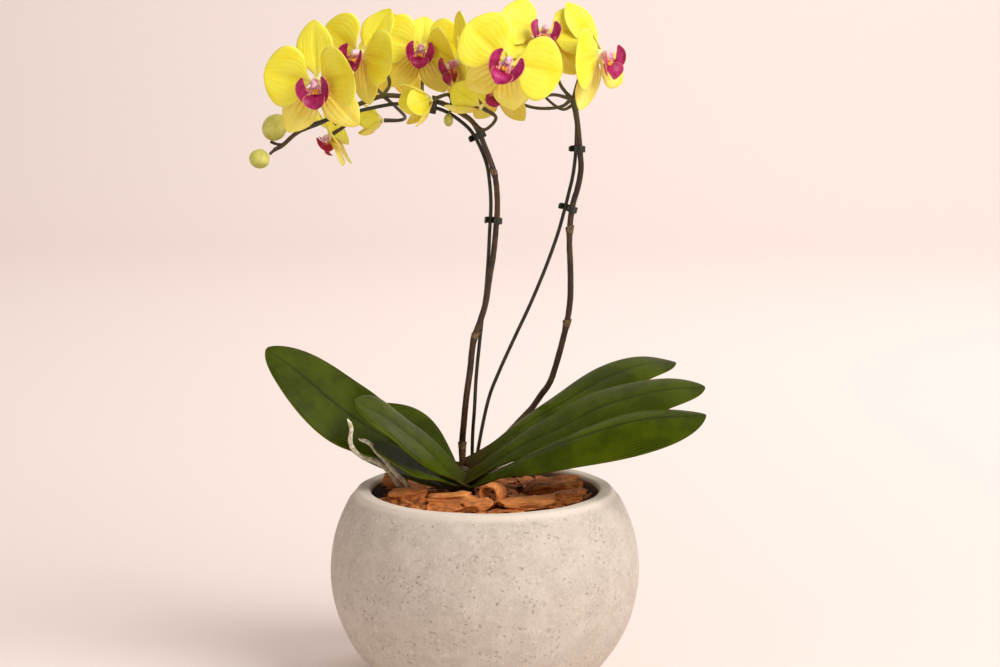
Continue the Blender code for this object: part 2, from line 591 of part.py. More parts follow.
for flower_name, (hub, turn, tilt, roll, size, close, _, _) in FLOWERS.items():
    stand = Matrix.Translation(hub) @ stance(turn, tilt, roll).to_4x4() @ Matrix.Scale(size, 4)
    flower_tepals(flower_name + "_tepals", stand, close)
    if close > 30:
        stand = stand @ Matrix.Translation((0, -0.0016, 0)) @ Matrix.Scale(0.6, 4)
    flower_lip(flower_name + "_lip", stand)

# The buds -------------------------------------------------------------------------------------------


def bud(name, centre, size, turn):
    bm = bmesh.new()
    bmesh.ops.create_uvsphere(bm, u_segments=10, v_segments=8, radius=1)
    bmesh.ops.scale(bm, vec=size, verts=bm.verts)
    bmesh.ops.rotate(bm, verts=bm.verts, matrix=Matrix.Rotation(radians(turn), 3, "Y"))
    bmesh.ops.translate(bm, verts=bm.verts, vec=centre)
    return put(name, bm, BUD)


bud("bud_large", (-0.1655, -0.009, 0.4535), (0.0095, 0.0100, 0.0105), 30)
bud("bud_end", (-0.1775, -0.012, 0.4290), (0.0080, 0.0070, 0.0072), 20)
bud("bud_small", (-0.0285, -0.002, 0.4590), (0.0036, 0.0036, 0.0050), 0)
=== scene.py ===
"""A yellow moth orchid in a bowl of cast stone, with its two spikes clipped to wire stakes.

Metres, +Z up. The flowers face -Y."""

import random
from math import acos, asin, cos, exp, log, pi, radians, sin, sqrt

import bmesh
import bpy
from mathutils import Euler, Matrix, Vector, noise


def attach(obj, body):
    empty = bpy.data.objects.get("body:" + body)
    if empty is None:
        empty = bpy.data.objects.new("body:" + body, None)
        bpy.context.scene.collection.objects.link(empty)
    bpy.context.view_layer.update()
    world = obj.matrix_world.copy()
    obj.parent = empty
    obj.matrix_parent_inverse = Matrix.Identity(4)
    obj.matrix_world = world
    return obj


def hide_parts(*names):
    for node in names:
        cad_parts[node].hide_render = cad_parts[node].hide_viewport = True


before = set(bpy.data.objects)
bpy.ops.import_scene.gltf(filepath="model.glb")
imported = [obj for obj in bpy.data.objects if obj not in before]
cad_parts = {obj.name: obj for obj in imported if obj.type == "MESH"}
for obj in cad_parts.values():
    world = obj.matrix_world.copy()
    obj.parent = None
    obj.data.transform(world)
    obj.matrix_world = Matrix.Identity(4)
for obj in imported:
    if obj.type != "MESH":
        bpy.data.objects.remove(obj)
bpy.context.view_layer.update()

# The pot ---------------------------------------------------------------------------------------------
# A thick bowl cast from pale stone mix in one piece. The mould leaves its side mottled and finely
# pitted, and the rim is rubbed smooth by hand. The top of the rim is painted lighter: a painted highlight.

POT_BULGE, POT_ARC, POT_MIDDLE, POT_HEIGHT = 0.1254, 0.115, 0.0956, 0.162
POT_WALL, POT_FLOOR = 0.010, 0.012
RIM_OUTER, RIM_INNER, RIM_ROUND = 0.1043, 0.0920, 0.0032


def arithmetic(operation, turned=False):
    def method(self, other=0.0):
        pair = (other, self) if turned else (self, other)
        return self.finish.node("ShaderNodeMath", {"operation": operation}, dict(enumerate(pair)))

    return method


class Wire:
    """An output of one shader node, which takes part in sums as a number would."""

    def __init__(self, finish, socket):
        self.finish = finish
        self.socket = socket

    __add__ = __radd__ = arithmetic("ADD")
    __mul__ = __rmul__ = arithmetic("MULTIPLY")
    __sub__, __rsub__ = arithmetic("SUBTRACT"), arithmetic("SUBTRACT", True)
    __truediv__, __rtruediv__ = arithmetic("DIVIDE"), arithmetic("DIVIDE", True)
    __pow__ = arithmetic("POWER")
    __abs__ = arithmetic("ABSOLUTE")
    sine = arithmetic("SINE")
    most = arithmetic("MAXIMUM")

    def rise(self, low, high):
        """0 below low and 1 above high, with a soft step between; the other way round if low is the higher."""
        return self.finish.node(
            "ShaderNodeMapRange", {"interpolation_type": "SMOOTHSTEP"}, {0: self, 1: low, 2: high}
        )


def shade(red, green, blue):
    """A colour as the eye grades it, from 0 to 1, in the light that the renderer counts."""
    return (*[((part + 0.055) / 1.055) ** 2.4 if part > 0.04 else part / 12.92 for part in (red, green, blue)], 1)


class Finish:
    """A surface: one Principled shader, and the nodes that vary it."""

    def __init__(self, name, roughness, gloss=0.5, **fixed):
        self.material = bpy.data.materials.new(name)
        self.material.use_nodes = True
        self.tree = self.material.node_tree
        self.shader = self.tree.nodes["Principled BSDF"]
        self.feed(self.shader, "Roughness", roughness)
        self.feed(self.shader, "Specular IOR Level", gloss)
        for name, value in fixed.items():
            self.feed(self.shader, name.replace("_", " ").title(), value)

    def feed(self, node, name, value):
        if isinstance(value, Wire):
            self.tree.links.new(value.socket, node.inputs[name])
        else:
            node.inputs[name].default_value = value

    def node(self, kind, settings, inputs, output=0):
        made = self.tree.nodes.new(kind)
        for name, value in settings.items():
            setattr(made, name, value)
        for name, value in inputs.items():
            self.feed(made, name, value)
        return Wire(self, made.outputs[output])

    def place(self, output="Object"):
        return self.node("ShaderNodeTexCoord", {}, {}, output)

    def split(self, output="UV"):
        """The two coordinates of the piece's own map, across and along."""
        where = self.place(output)
        return [self.node("ShaderNodeSeparateXYZ", {}, {0: where}, i) for i in (0, 1, 2)]

    def stretched(self, scale, output="Object"):
        return self.node("ShaderNodeMapping", {}, {"Vector": self.place(output), "Scale": scale})

    def cloud(self, size, detail=3.0, where=None, rough=0.55):
        """Soft noise from 0 to 1 with features about size metres across."""
        where = self.place() if where is None else where
        inputs = {"Vector": where, "Scale": 1 / size, "Detail": detail, "Roughness": rough}
        return self.node("ShaderNodeTexNoise", {}, inputs)

    def cells(self, size, where=None, output="Distance"):
        where = self.place() if where is None else where
        return self.node("ShaderNodeTexVoronoi", {}, {"Vector": where, "Scale": 1 / size}, output)

    def mix(self, share, first, second):
        """One colour where share is 0 and another where it is 1."""
        return self.node("ShaderNodeMix", {"data_type": "RGBA"}, {0: share, 6: first, 7: second}, 2)

    def colour(self, value):
        self.feed(self.shader, "Base Color", value)

    def bump(self, height, depth, strength=1.0):
        """Raises the surface by the height, from 0 to 1, times a depth in metres."""
        inputs = {"Height": height, "Distance": depth, "Strength": strength}
        self.feed(self.shader, "Normal", self.node("ShaderNodeBump", {}, inputs))


def pot_radius(height, inset=0.0):
    return POT_BULGE - POT_ARC + sqrt((POT_ARC - inset) ** 2 - (height - POT_MIDDLE) ** 2)


def side(low, high, count, inset=0.0):
    """Points up the bowl's round side, or up its inner wall, from one height to another."""
    first, last = (asin((z - POT_MIDDLE) / POT_ARC) for z in (low, high))
    heights = [POT_MIDDLE + POT_ARC * sin(first + (last - first) * i / count) for i in range(count + 1)]
    return [(pot_radius(z, inset), z) for z in heights]


def corner(radius, height, size, start, end, count=6):
    """Points round a small arc, between two angles from the outward direction."""
    turns = [radians(start + (end - start) * i / count) for i in range(count + 1)]
    return [(radius + size * cos(turn), height + size * sin(turn)) for turn in turns]


def turned(profile, steps):
    """A body spun from a profile of (radius, height) pairs that starts and ends on the axis."""
    bm = bmesh.new()
    corners = [bm.verts.new((radius, 0, height)) for radius, height in profile]
    edges = [bm.edges.new(pair) for pair in zip(corners, corners[1:])]
    bmesh.ops.spin(
        bm, geom=corners + edges, cent=(0, 0, 0), axis=(0, 0, 1), angle=2 * pi, steps=steps, use_merge=True
    )
    bmesh.ops.remove_doubles(bm, verts=bm.verts, dist=1e-5)
    bmesh.ops.recalc_face_normals(bm, faces=bm.faces)
    bm.normal_update()
    return bm


def roughen(bm, size, depth, verts=None):
    """Moves each point in or out along its normal by smooth noise."""
    for vert in bm.verts if verts is None else verts:
        vert.co += vert.normal * depth * noise.noise(vert.co / size)


def piece(name, bm, finishes, slot, *nodes, crease=40):
    """Makes the object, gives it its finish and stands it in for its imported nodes."""
    mesh = bpy.data.meshes.new(name)
    bm.to_mesh(mesh)
    bm.free()
    mesh.shade_smooth()
    mesh.set_sharp_from_angle(angle=radians(crease))
    for finish in finishes:
        mesh.materials.append(finish.material)
    made = bpy.data.objects.new(name, mesh)
    bpy.context.scene.collection.objects.link(made)
    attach(made, "root")
    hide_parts(*nodes)
    return made


def thicken(made, thickness):
    wall = made.modifiers.new("thickness", "SOLIDIFY")
    wall.thickness = thickness
    wall.offset = 0
    wall.use_even_offset = True


def round_off(made, levels=1):
    smooth = made.modifiers.new("rounding", "SUBSURF")
    smooth.levels = smooth.render_levels = levels


stone = Finish("cast_stone", 0.82, gloss=0.3)
_, _, height = stone.split("Object")
blotches = stone.cloud(0.016, 5, rough=0.7).rise(0.32, 0.70)
grain = stone.cloud(0.0020, 4, rough=0.7)
grey_spots = stone.cloud(0.0060, 6, rough=0.75).rise(0.52, 0.68)
flecks = stone.cloud(0.0036, 5, rough=0.7).rise(0.56, 0.65)
pits = stone.cloud(0.0028, 4, rough=0.65).rise(0.59, 0.67) * stone.cloud(0.02, 3).rise(0.36, 0.6)
# The top of the rim is smoother, with fewer pits, and painted lighter: a painted highlight where the light falls on
# it.
smooth_lit_rim = height.rise(0.1555, 0.1600)
base = stone.mix(blotches, shade(0.755, 0.715, 0.665), shade(0.82, 0.78, 0.735))
base = stone.mix(grey_spots * 0.22, base, shade(0.62, 0.585, 0.54))
base = stone.mix(grain.rise(0.35, 0.65) * 0.25, base, shade(0.86, 0.82, 0.77))
base = stone.mix(flecks * 0.45, base, shade(0.93, 0.89, 0.82))
# The pits are painted darker than the stone: painted shade inside them.
base = stone.mix(pits * 0.58, base, shade(0.50, 0.45, 0.38))
base = stone.mix(smooth_lit_rim * 0.8, base, shade(0.895, 0.855, 0.80))
stone.colour(base)
stone.bump(grain * 0.4 + (1 - pits) * 0.9 * (1 - smooth_lit_rim * 0.7) + flecks * 0.2, 0.0006, 0.7)

neck = POT_HEIGHT - 2 * RIM_ROUND
pot_profile = [
    (0, 0),
    (pot_radius(0) - 0.006, 0),
    *corner(pot_radius(0.004) - 0.004, 0.004, 0.004, -80, -30, 4),
    *side(0.006, neck - 0.003, 40),
    *corner(RIM_OUTER - RIM_ROUND, POT_HEIGHT - RIM_ROUND, RIM_ROUND, 25, 90),
    *corner(RIM_INNER + RIM_ROUND, POT_HEIGHT - RIM_ROUND, RIM_ROUND, 90, 180),
    *reversed(side(POT_FLOOR, neck - POT_WALL / 2, 12, POT_WALL)),
    (0, POT_FLOOR),
]
bm = turned(pot_profile, 144)
roughen(bm, 0.030, 0.0004)
piece("stone_bowl", bm, [stone], "cast_stone", "pot")

# The bark bed ----------------------------------------------------------------------------------------
# Chopped pine bark fills the bowl to just under its rim. It is packed by hand round the crown, and
# hundreds of broken pieces lie at every angle, with dark gaps between them.

BED_TOP = 0.150

bark = Finish("bark", 0.78, gloss=0.35)
tone = bark.node("ShaderNodeAttribute", {"attribute_name": "tone"}, {}, "Fac")
layers = bark.cloud(0.004, 5, bark.stretched((0.6, 0.6, 2.6)), 0.65)
flakes = bark.cells(0.0075, bark.stretched((0.7, 1.0, 1.6)))
streaks = bark.cloud(0.010, 4)
base = bark.mix(layers.rise(0.32, 0.62), shade(0.50, 0.27, 0.11), shade(0.80, 0.47, 0.21))
base = bark.mix(streaks.rise(0.52, 0.70) * 0.7, base, shade(0.92, 0.62, 0.34))
base = bark.mix(flakes.rise(0.25, 0.05) * 0.35, base, shade(0.17, 0.08, 0.04))
base = bark.mix(tone.rise(0.65, 1.0) * 0.45, base, shade(0.90, 0.60, 0.33))
# Low tones are darker: random dark pieces of bark, and the painted shade of the bed under the loose pieces.
base = bark.mix(tone.rise(0.42, 0.0), base, shade(0.20, 0.09, 0.04))
bark.colour(base)
bark.bump(layers * 0.6 + flakes * 0.5 + bark.cloud(0.0012, 2) * 0.25, 0.0013, 0.8)


def torn_piece(centre, size, spin, cuts, ragged, seed, lightness):
    """One broken slab of bark: a block with every point pushed about, and its ends torn thin."""
    bm = bmesh.new()
    bmesh.ops.create_cube(bm, size=1)
    bmesh.ops.subdivide_edges(bm, edges=bm.edges, cuts=cuts, use_grid_fill=True)
    shift = Vector((seed * 3.7, seed * 1.3, seed * 2.9))
    turn = Euler([radians(angle) for angle in spin]).to_matrix()
    for vert in bm.verts:
        spot = vert.co.copy()
        end = 1 - 0.45 * (2 * abs(spot.x)) ** 4
        spot.z *= end * (1 - 0.25 * (2 * spot.y) ** 4)
        spot.y *= 1 - 0.25 * (2 * spot.x) ** 4
        spot += 0.20 * ragged * noise.noise_vector(spot * 2.1 + shift)
        spot += 0.06 * ragged * noise.noise_vector(spot * 6 + shift)
        spot.z += 0.35 * (spot.x**2 - 0.1)
        vert.co = centre + turn @ Vector((spot.x * size[0], spot.y * size[1], spot.z * size[2]))
    return toned(bm, lightness)


def toned(bm, lightness):
    """Gives one piece of bark its own lightness, from 0 to 1."""
    tone_layer = bm.loops.layers.float_color.new("tone")
    for face in bm.faces:
        for loop in face.loops:
            loop[tone_layer] = (lightness, lightness, lightness, 1)
    return bm


def gather(bm, part):
    """Adds a part to a body, and frees it."""
    carrier = bpy.data.meshes.new("carrier")
    part.to_mesh(carrier)
    part.free()
    bm.from_mesh(carrier)
    bpy.data.meshes.remove(carrier)


bed_profile = [
    (0, BED_TOP - 0.003),
    *[(0.0895 * i / 26, BED_TOP - 0.003) for i in range(1, 27)],
    *[(pot_radius(z, POT_WALL + 0.001), z) for z in (0.138, 0.115, 0.0956, 0.07, 0.045, 0.025)],
    (pot_radius(POT_FLOOR, POT_WALL + 0.001), POT_FLOOR + 0.0003),
    (0, POT_FLOOR + 0.0003),
]
bm = turned(bed_profile, 96)
# The bed under the loose pieces is painted nearly black: painted shade in the gaps between them.
toned(bm, 0.1)
roughen(bm, 0.007, 0.006, [vert for vert in bm.verts if vert.co.z > BED_TOP - 0.006])
chance = random.Random(11)
for i in range(210):
    reach, bearing = 0.079 * sqrt(chance.random()), chance.uniform(0, 2 * pi)
    centre = Vector((reach * cos(bearing), reach * sin(bearing), BED_TOP + chance.uniform(-0.0030, 0.0035)))
    size = (chance.uniform(0.013, 0.032), chance.uniform(0.009, 0.017), chance.uniform(0.005, 0.009))
    spin = (chance.uniform(-28, 28), chance.uniform(-20, 20), chance.uniform(0, 360))
    gather(bm, torn_piece(centre, size, spin, 2, 1.3, i, chance.uniform(0.15, 0.75)))
piece("packed_bark", bm, [bark], "bark", "bark_bed", crease=50)

# The loose chips -------------------------------------------------------------------------------------
# A few larger slabs of the same bark lie on top, and two thin strips have curled up as they dried.

CHIPS = {
    "02": ((-0.062, -0.011), (0.027, 0.015, 0.010), 15, 0.85),
    "03": ((-0.027, -0.024), (0.038, 0.016, 0.009), -8, 0.95),
    "04": ((-0.006, -0.042), (0.024, 0.015, 0.008), 25, 0.8),
    "06": ((0.034, -0.034), (0.042, 0.019, 0.008), 8, 0.9),
    "07": ((0.066, -0.016), (0.026, 0.020, 0.009), -20, 0.6),
    "08": ((0.056, 0.022), (0.048, 0.024, 0.010), 12, 0.7),
}
for number, ((x, y), size, heading, light) in CHIPS.items():
    centre = Vector((x, y, BED_TOP + 0.0035 + size[2] * 0.5))
    bm = torn_piece(centre, size, (3, -4, heading), 8, 1.0, 40 + int(number), light)
    piece(f"loose_bark_{number}", bm, [bark], "bark", f"bark_chip_{number}", crease=50)


def curled_strip(number, centre, radius, width, wall, heading):
    """A strip of bark curled into most of a ring, lying on its side, ragged at its edges."""
    bm = bmesh.new()
    bmesh.ops.create_grid(bm, x_segments=44, y_segments=10, size=1)
    for vert in bm.verts:
        turn = radians(-75 + 285 * (vert.co.x + 1) / 2)
        reach = radius * (1 + 0.10 * noise.noise(vert.co * 1.7) - 0.12 * vert.co.x)
        ragged = 1 + 0.16 * noise.noise(Vector((vert.co.x * 4, number, 0)))
        vert.co = Vector((reach * cos(turn), vert.co.y * ragged * width / 2, reach * sin(turn)))
    bmesh.ops.rotate(bm, verts=bm.verts, matrix=Matrix.Rotation(radians(heading), 3, "Z"))
    x, y = centre
    bmesh.ops.translate(bm, verts=bm.verts, vec=(x, y, BED_TOP + 0.003 + radius + wall / 2))
    toned(bm, 0.95)
    made = piece(f"curled_bark_{number:02d}", bm, [bark], "bark", f"bark_chip_{number:02d}")
    thicken(made, wall)
    round_off(made)


curled_strip(1, (-0.074, 0.028), 0.0062, 0.018, 0.0020, 70)
curled_strip(5, (0.006, -0.024), 0.0078, 0.016, 0.0024, -28)

# The leaves ------------------------------------------------------------------------------------------
# Eight thick strap leaves in two ranks clasp a very short stem. They are waxy, dark on top with a fine
# pale edge, grooved along the midrib, and stained purple-brown where they sheathe each other.

LEAVES = {
    "left_long": (
        [(-0.0225, 0.011, 0.168), (-0.061, 0.014, 0.188), (-0.090, 0.018, 0.205), (-0.118, 0.024, 0.223),
         (-0.150, 0.030, 0.249), (-0.179, 0.034, 0.270)], 0.062, 30, 48),
    "left_front": (
        [(-0.0160, -0.004, 0.163), (-0.043, -0.010, 0.192), (-0.064, -0.018, 0.211), (-0.083, -0.026, 0.227),
         (-0.103, -0.034, 0.238)], 0.054, 26, 34),
    "left_back": (
        [(-0.0225, 0.018, 0.168), (-0.034, 0.028, 0.180), (-0.050, 0.038, 0.195), (-0.070, 0.048, 0.209),
         (-0.094, 0.058, 0.219)], 0.036, 18, 34),
    "left_under": (
        [(-0.0225, -0.002, 0.162), (-0.045, -0.012, 0.178), (-0.065, -0.018, 0.189), (-0.089, -0.022, 0.200)],
        0.038, 12, 24),
    "left_lowest": (
        [(-0.0225, 0.007, 0.157), (-0.053, 0.014, 0.170), (-0.081, 0.020, 0.179), (-0.113, 0.024, 0.193)],
        0.034, 6, 20),
    "right_back": (
        [(-0.012, 0.013, 0.174), (0.030, 0.030, 0.206), (0.064, 0.042, 0.224), (0.098, 0.050, 0.242),
         (0.130, 0.055, 0.253), (0.158, 0.058, 0.254)], 0.044, 20, 16),
    "right_middle": (
        [(-0.0205, -0.003, 0.163), (0.024, -0.003, 0.194), (0.061, -0.005, 0.212), (0.095, -0.008, 0.230),
         (0.140, -0.012, 0.243), (0.176, -0.016, 0.246)], 0.056, 28, 24),
    "right_front": (
        [(-0.0125, -0.003, 0.163), (0.018, -0.022, 0.183), (0.043, -0.033, 0.197), (0.080, -0.042, 0.213),
         (0.124, -0.046, 0.226), (0.174, -0.050, 0.230)], 0.060, 48, 8),
}
# Where along it a leaf is widest, where that isn't as usual.
WIDEST = {"right_front": 0.72, "left_front": 0.56}

leaf_skin = Finish("leaf", 0.30, gloss=0.07)
across, along_leaf, _ = leaf_skin.split()
from_rib = abs(across * 2 - 1)
wander = leaf_skin.cloud(0.03, 2)
vein_lines = (across * 190 + wander * 9).sine() * 0.5 + 0.5
fine_lines = (across * 520 + wander * 20).sine() * 0.5 + 0.5
patches = leaf_skin.cloud(0.028, 3).rise(0.35, 0.7)
base = leaf_skin.mix(patches, shade(0.18, 0.225, 0.0), shade(0.265, 0.32, 0.0))
base = leaf_skin.mix(vein_lines * 0.16, base, shade(0.40, 0.45, 0.05))
# A dark line is painted along the midrib: painted shade in its groove.
base = leaf_skin.mix(from_rib.rise(0.07, 0.0) * 0.75, base, shade(0.11, 0.15, 0.01))
base = leaf_skin.mix(along_leaf.rise(0.30, 0.03) * 0.9, base, shade(0.19, 0.10, 0.05))
base = leaf_skin.mix(leaf_skin.cloud(0.009, 4).rise(0.66, 0.80) * 0.25, base, shade(0.42, 0.44, 0.14))
base = leaf_skin.mix(from_rib.rise(0.965, 1.0) * 0.30 * along_leaf.rise(0.15, 0.5), base, shade(0.50, 0.55, 0.15))
leaf_skin.colour(base)
leaf_skin.feed(leaf_skin.shader, "Roughness", 0.24 + patches * 0.07 + fine_lines * 0.04)
leaf_skin.bump(vein_lines * 0.6 + fine_lines * 0.15 + leaf_skin.cloud(0.004, 3) * 0.8, 0.00035, 0.6)


def along(knots, places):
    """Points on the smooth curve through the knots, at places from 0 to 1."""
    knots = [Vector(knot) for knot in knots]
    spans = len(knots) - 1
    padded = [2 * knots[0] - knots[1], *knots, 2 * knots[-1] - knots[-2]]
    found = []
    for place in places:
        span = min(int(place * spans), spans - 1)
        t = place * spans - span
        a, b, c, d = padded[span:span + 4]
        found.append(
            0.5 * (2 * b + (c - a) * t + (2 * a - 5 * b + 4 * c - d) * t**2 + (3 * b - a - 3 * c + d) * t**3)
        )
    return found


def outline(place, widest, fullness):
    """Half width of a blade at a place along it, as a share of its greatest."""
    return max(sin(pi * place ** (log(0.5) / log(widest))), 0) ** fullness


def eased(place):
    """Spreads the rows of a grid, from -1 to 1, so that both ends of a blade are finely cut."""
    return (1 - cos(pi * (place + 1) / 2)) / 2


for order, (name, (midrib, width, near, far)) in enumerate(LEAVES.items()):
    bm = bmesh.new()
    bm.loops.layers.uv.new("UVMap")
    bmesh.ops.create_grid(bm, x_segments=18, y_segments=44, size=1, calc_uvs=True)
    for vert in bm.verts:
        t, share = vert.co.x, eased(vert.co.y)
        before, here, after = along(midrib, [max(share - 0.02, 0), share, min(share + 0.02, 1)])
        ahead = (after - before).normalized()
        outward = ahead.cross(Vector((0, 0, 1))).normalized()
        outward = -outward if outward.y > 0 else outward
        up = outward.cross(ahead)
        up = -up if up.z < 0 else up
        half = width / 2 * outline(share, WIDEST.get(name, 0.62), 0.6)
        half = max(half, 0.0085 * (1 - share / 0.5)) if share < 0.5 else half
        tilt = radians(far + (near - far) * (0.5 + 0.5 * sin(t * pi / 2)))
        clasp = max(0, 1 - share / 0.22) ** 2
        spot = here + half * t * (cos(tilt) * outward - sin(tilt) * up)
        spot += up * (clasp * 0.9 * half * t * t - 0.0016 * exp(-((t / 0.09) ** 2)) * (1 - share))
        spot += up * 0.0022 * t * t * sin(7 * share + 2.1 * order + 1.2 * t) * sin(pi * share)
        spot -= up * 0.10 * half * t**4
        vert.co = spot
    bmesh.ops.remove_doubles(bm, verts=bm.verts, dist=1e-5)
    made = piece(f"strap_leaf_{name}", bm, [leaf_skin], "leaf", f"leaf_{name}")
    thicken(made, 0.0021)
    round_off(made)

# The crown -------------------------------------------------------------------------------------------
# The stem itself hardly shows: it is wrapped in the brown, papery ends of old leaf sheaths.

sheath = Finish("crown_sheath", 0.6, gloss=0.35)
fibres = sheath.cloud(0.004, 4, sheath.stretched((1, 1, 0.12)), 0.6)
base = sheath.mix(fibres.rise(0.35, 0.65), shade(0.17, 0.10, 0.05), shade(0.31, 0.25, 0.11))
sheath.colour(base)
sheath.bump(fibres, 0.0008, 0.8)
crown_profile = [(0, 0.0005), (0.0062, 0.0005), (0.0072, 0.006), (0.0074, 0.013), (0.0069, 0.020),
                 (0.0055, 0.0255), (0.003, 0.0275), (0, 0.028)]
bm = turned(crown_profile, 40)
bmesh.ops.subdivide_edges(bm, edges=bm.edges, cuts=1, use_grid_fill=True)
bmesh.ops.translate(bm, verts=bm.verts, vec=(-0.018, 0.008, BED_TOP))
bm.normal_update()
roughen(bm, 0.006, 0.0010)
piece("short_stem", bm, [sheath], "crown", "crown")

# The aerial roots ------------------------------------------------------------------------------------
# Two thick roots climb out of the bark to the left. Their spongy skin is silver-grey and dry, with
# olive patches, and browner towards the bottom.

ROOTS = {
    "outer": [(-0.064, 0.014, 0.149), (-0.072, 0.004, 0.166), (-0.078, -0.006, 0.177), (-0.088, -0.016, 0.187),
              (-0.097, -0.026, 0.192), (-0.104, -0.036, 0.201), (-0.106, -0.042, 0.209), (-0.105, -0.045, 0.220),
              (-0.108, -0.045, 0.227)],
    "inner": [(-0.057, 0.004, 0.149), (-0.064, 0.000, 0.165), (-0.073, -0.006, 0.176), (-0.081, -0.009, 0.187),
              (-0.087, -0.012, 0.194), (-0.092, -0.018, 0.202), (-0.101, -0.020, 0.206)],
}

root_skin = Finish("aerial_root", 0.72, gloss=0.3)
_, _, height = root_skin.split("Object")
silver = root_skin.cloud(0.0035, 4)
base = root_skin.mix(silver.rise(0.35, 0.65), shade(0.74, 0.72, 0.57), shade(0.93, 0.91, 0.84))
base = root_skin.mix(root_skin.cloud(0.012, 2).rise(0.5, 0.7) * 0.6, base, shade(0.56, 0.56, 0.34))
base = root_skin.mix(height.rise(0.165, 0.152) * 0.6, base, shade(0.45, 0.33, 0.20))
root_skin.colour(base)
root_skin.bump(silver, 0.0007, 0.8)


def draw_rod(bm, knots, girth, sides=14, per_span=5):
    """Draws a round rod along the smooth curve through the knots. girth gives its radius at each place."""
    count = per_span * (len(knots) - 1)
    route = along(knots, [i / count for i in range(count + 1)])
    ring = bmesh.ops.create_circle(bm, segments=sides, radius=1, cap_ends=True)["verts"]
    face = ring[0].link_faces[0]
    shape = [vert.co.copy() for vert in face.verts]
    heading = (route[1] - route[0]).normalized()
    turn = face.normal.rotation_difference(heading) if face.normal.length else heading.to_track_quat("Z", "Y")
    for i, centre in enumerate(route):
        ahead = (route[min(i + 1, count)] - route[max(i - 1, 0)]).normalized()
        turn = heading.rotation_difference(ahead) @ turn
        heading = ahead
        if i:
            face = bmesh.ops.extrude_discrete_faces(bm, faces=[face])["faces"][0]
        for vert, spot in zip(face.verts, shape):
            vert.co = centre + turn @ (spot * girth(i / count))


def closed(bm):
    """Turns every face of a body of rods outwards."""
    bmesh.ops.recalc_face_normals(bm, faces=bm.faces)
    bm.normal_update()
    return bm


for name, knots in ROOTS.items():
    bm = bmesh.new()
    draw_rod(bm, knots, lambda place: 0.0021 * (1 - 0.25 * place) * min(1, 9 * (1 - place) + 0.35), 18, 8)
    closed(bm)
    roughen(bm, 0.004, 0.0005)
    piece(f"root_{name}", bm, [root_skin], "aerial_root", f"aerial_root_{name}")

# The wire stakes -------------------------------------------------------------------------------------
# Two stakes of steel wire, coated dark green, are pushed 50 mm into the bark. Each is bent by hand to
# lead its spike, the left one right over in an arch.

STAKE_LEFT = [
    (-0.0095, 0.030, 0.100), (-0.0095, 0.030, 0.150), (-0.0105, 0.026, 0.181), (-0.010, 0.020, 0.203),
    (-0.0085, 0.012, 0.224), (-0.007, 0.008, 0.251), (-0.004, 0.006, 0.282), (-0.001, 0.0055, 0.308),
    (0.001, 0.0055, 0.323), (0.003, 0.004, 0.350), (0.004, 0.003, 0.371), (0.005, 0.003, 0.391),
    (0.004, 0.003, 0.409), (0.001, 0.004, 0.426), (-0.008, 0.005, 0.446), (-0.018, 0.0055, 0.457),
    (-0.033, 0.004, 0.4665), (-0.050, -0.001, 0.4705), (-0.068, -0.004, 0.472), (-0.080, -0.004, 0.4705),
    (-0.097, -0.006, 0.467), (-0.114, -0.008, 0.4625), (-0.126, -0.010, 0.459), (-0.140, -0.012, 0.455),
]
STAKE_RIGHT = [
    (-0.011, 0.039, 0.100), (-0.011, 0.039, 0.150), (-0.0055, 0.037, 0.188), (0.0025, 0.036, 0.227),
    (0.011, 0.036, 0.250), (0.024, 0.036, 0.279), (0.037, 0.036, 0.307), (0.049, 0.036, 0.336),
    (0.058, 0.036, 0.361), (0.063, 0.036, 0.378), (0.068, 0.035, 0.398), (0.0715, 0.034, 0.414),
    (0.0735, 0.0335, 0.433), (0.074, 0.0335, 0.455), (0.074, 0.0335, 0.475),
]

coat = Finish("green_wire_coat", 0.34, gloss=0.5)
scuffs = coat.cloud(0.006, 4)
coat.colour(coat.mix(scuffs.rise(0.35, 0.7), shade(0.11, 0.105, 0.05), shade(0.20, 0.185, 0.11)))
coat.bump(scuffs, 0.0002, 0.5)
for name, knots in (("left", STAKE_LEFT), ("right", STAKE_RIGHT)):
    bm = bmesh.new()
    draw_rod(bm, knots, lambda place: 0.0015 * min(1, 60 * (1 - place) + 0.5), 14, 5)
    piece(f"wire_stake_{name}", closed(bm), [coat], "coated_wire", f"stake_{name}")

# The flower spikes -----------------------------------------------------------------------------------
# Each spike is one round woody stem, thicker at its joints, where a dry bract hugs it. Thin stalks
# branch off its upper end to the flowers and buds.

SPIKE_LEFT = [
    (-0.018, 0.0185, 0.152), (-0.0185, 0.018, 0.193), (-0.017, 0.010, 0.214), (-0.015, 0.003, 0.235),
    (-0.012, 0, 0.257), (-0.009, 0, 0.282), (-0.003, 0, 0.300), (0.001, 0, 0.314), (0.004, 0, 0.334),
    (0.007, 0, 0.352), (0.009, 0, 0.372), (0.0102, 0, 0.392), (0.009, 0, 0.410), (0.006, 0, 0.423),
    (0.001, 0, 0.436), (-0.003, 0, 0.446), (-0.009, 0, 0.457), (-0.018, 0, 0.464), (-0.033, 0, 0.472),
    (-0.048, 0.001, 0.4755), (-0.064, 0.002, 0.4775), (-0.080, 0.001, 0.478), (-0.098, 0, 0.472),
    (-0.114, -0.002, 0.465), (-0.130, -0.004, 0.457), (-0.147, -0.006, 0.450), (-0.159, -0.008, 0.440),
    (-0.166, -0.010, 0.436),
]
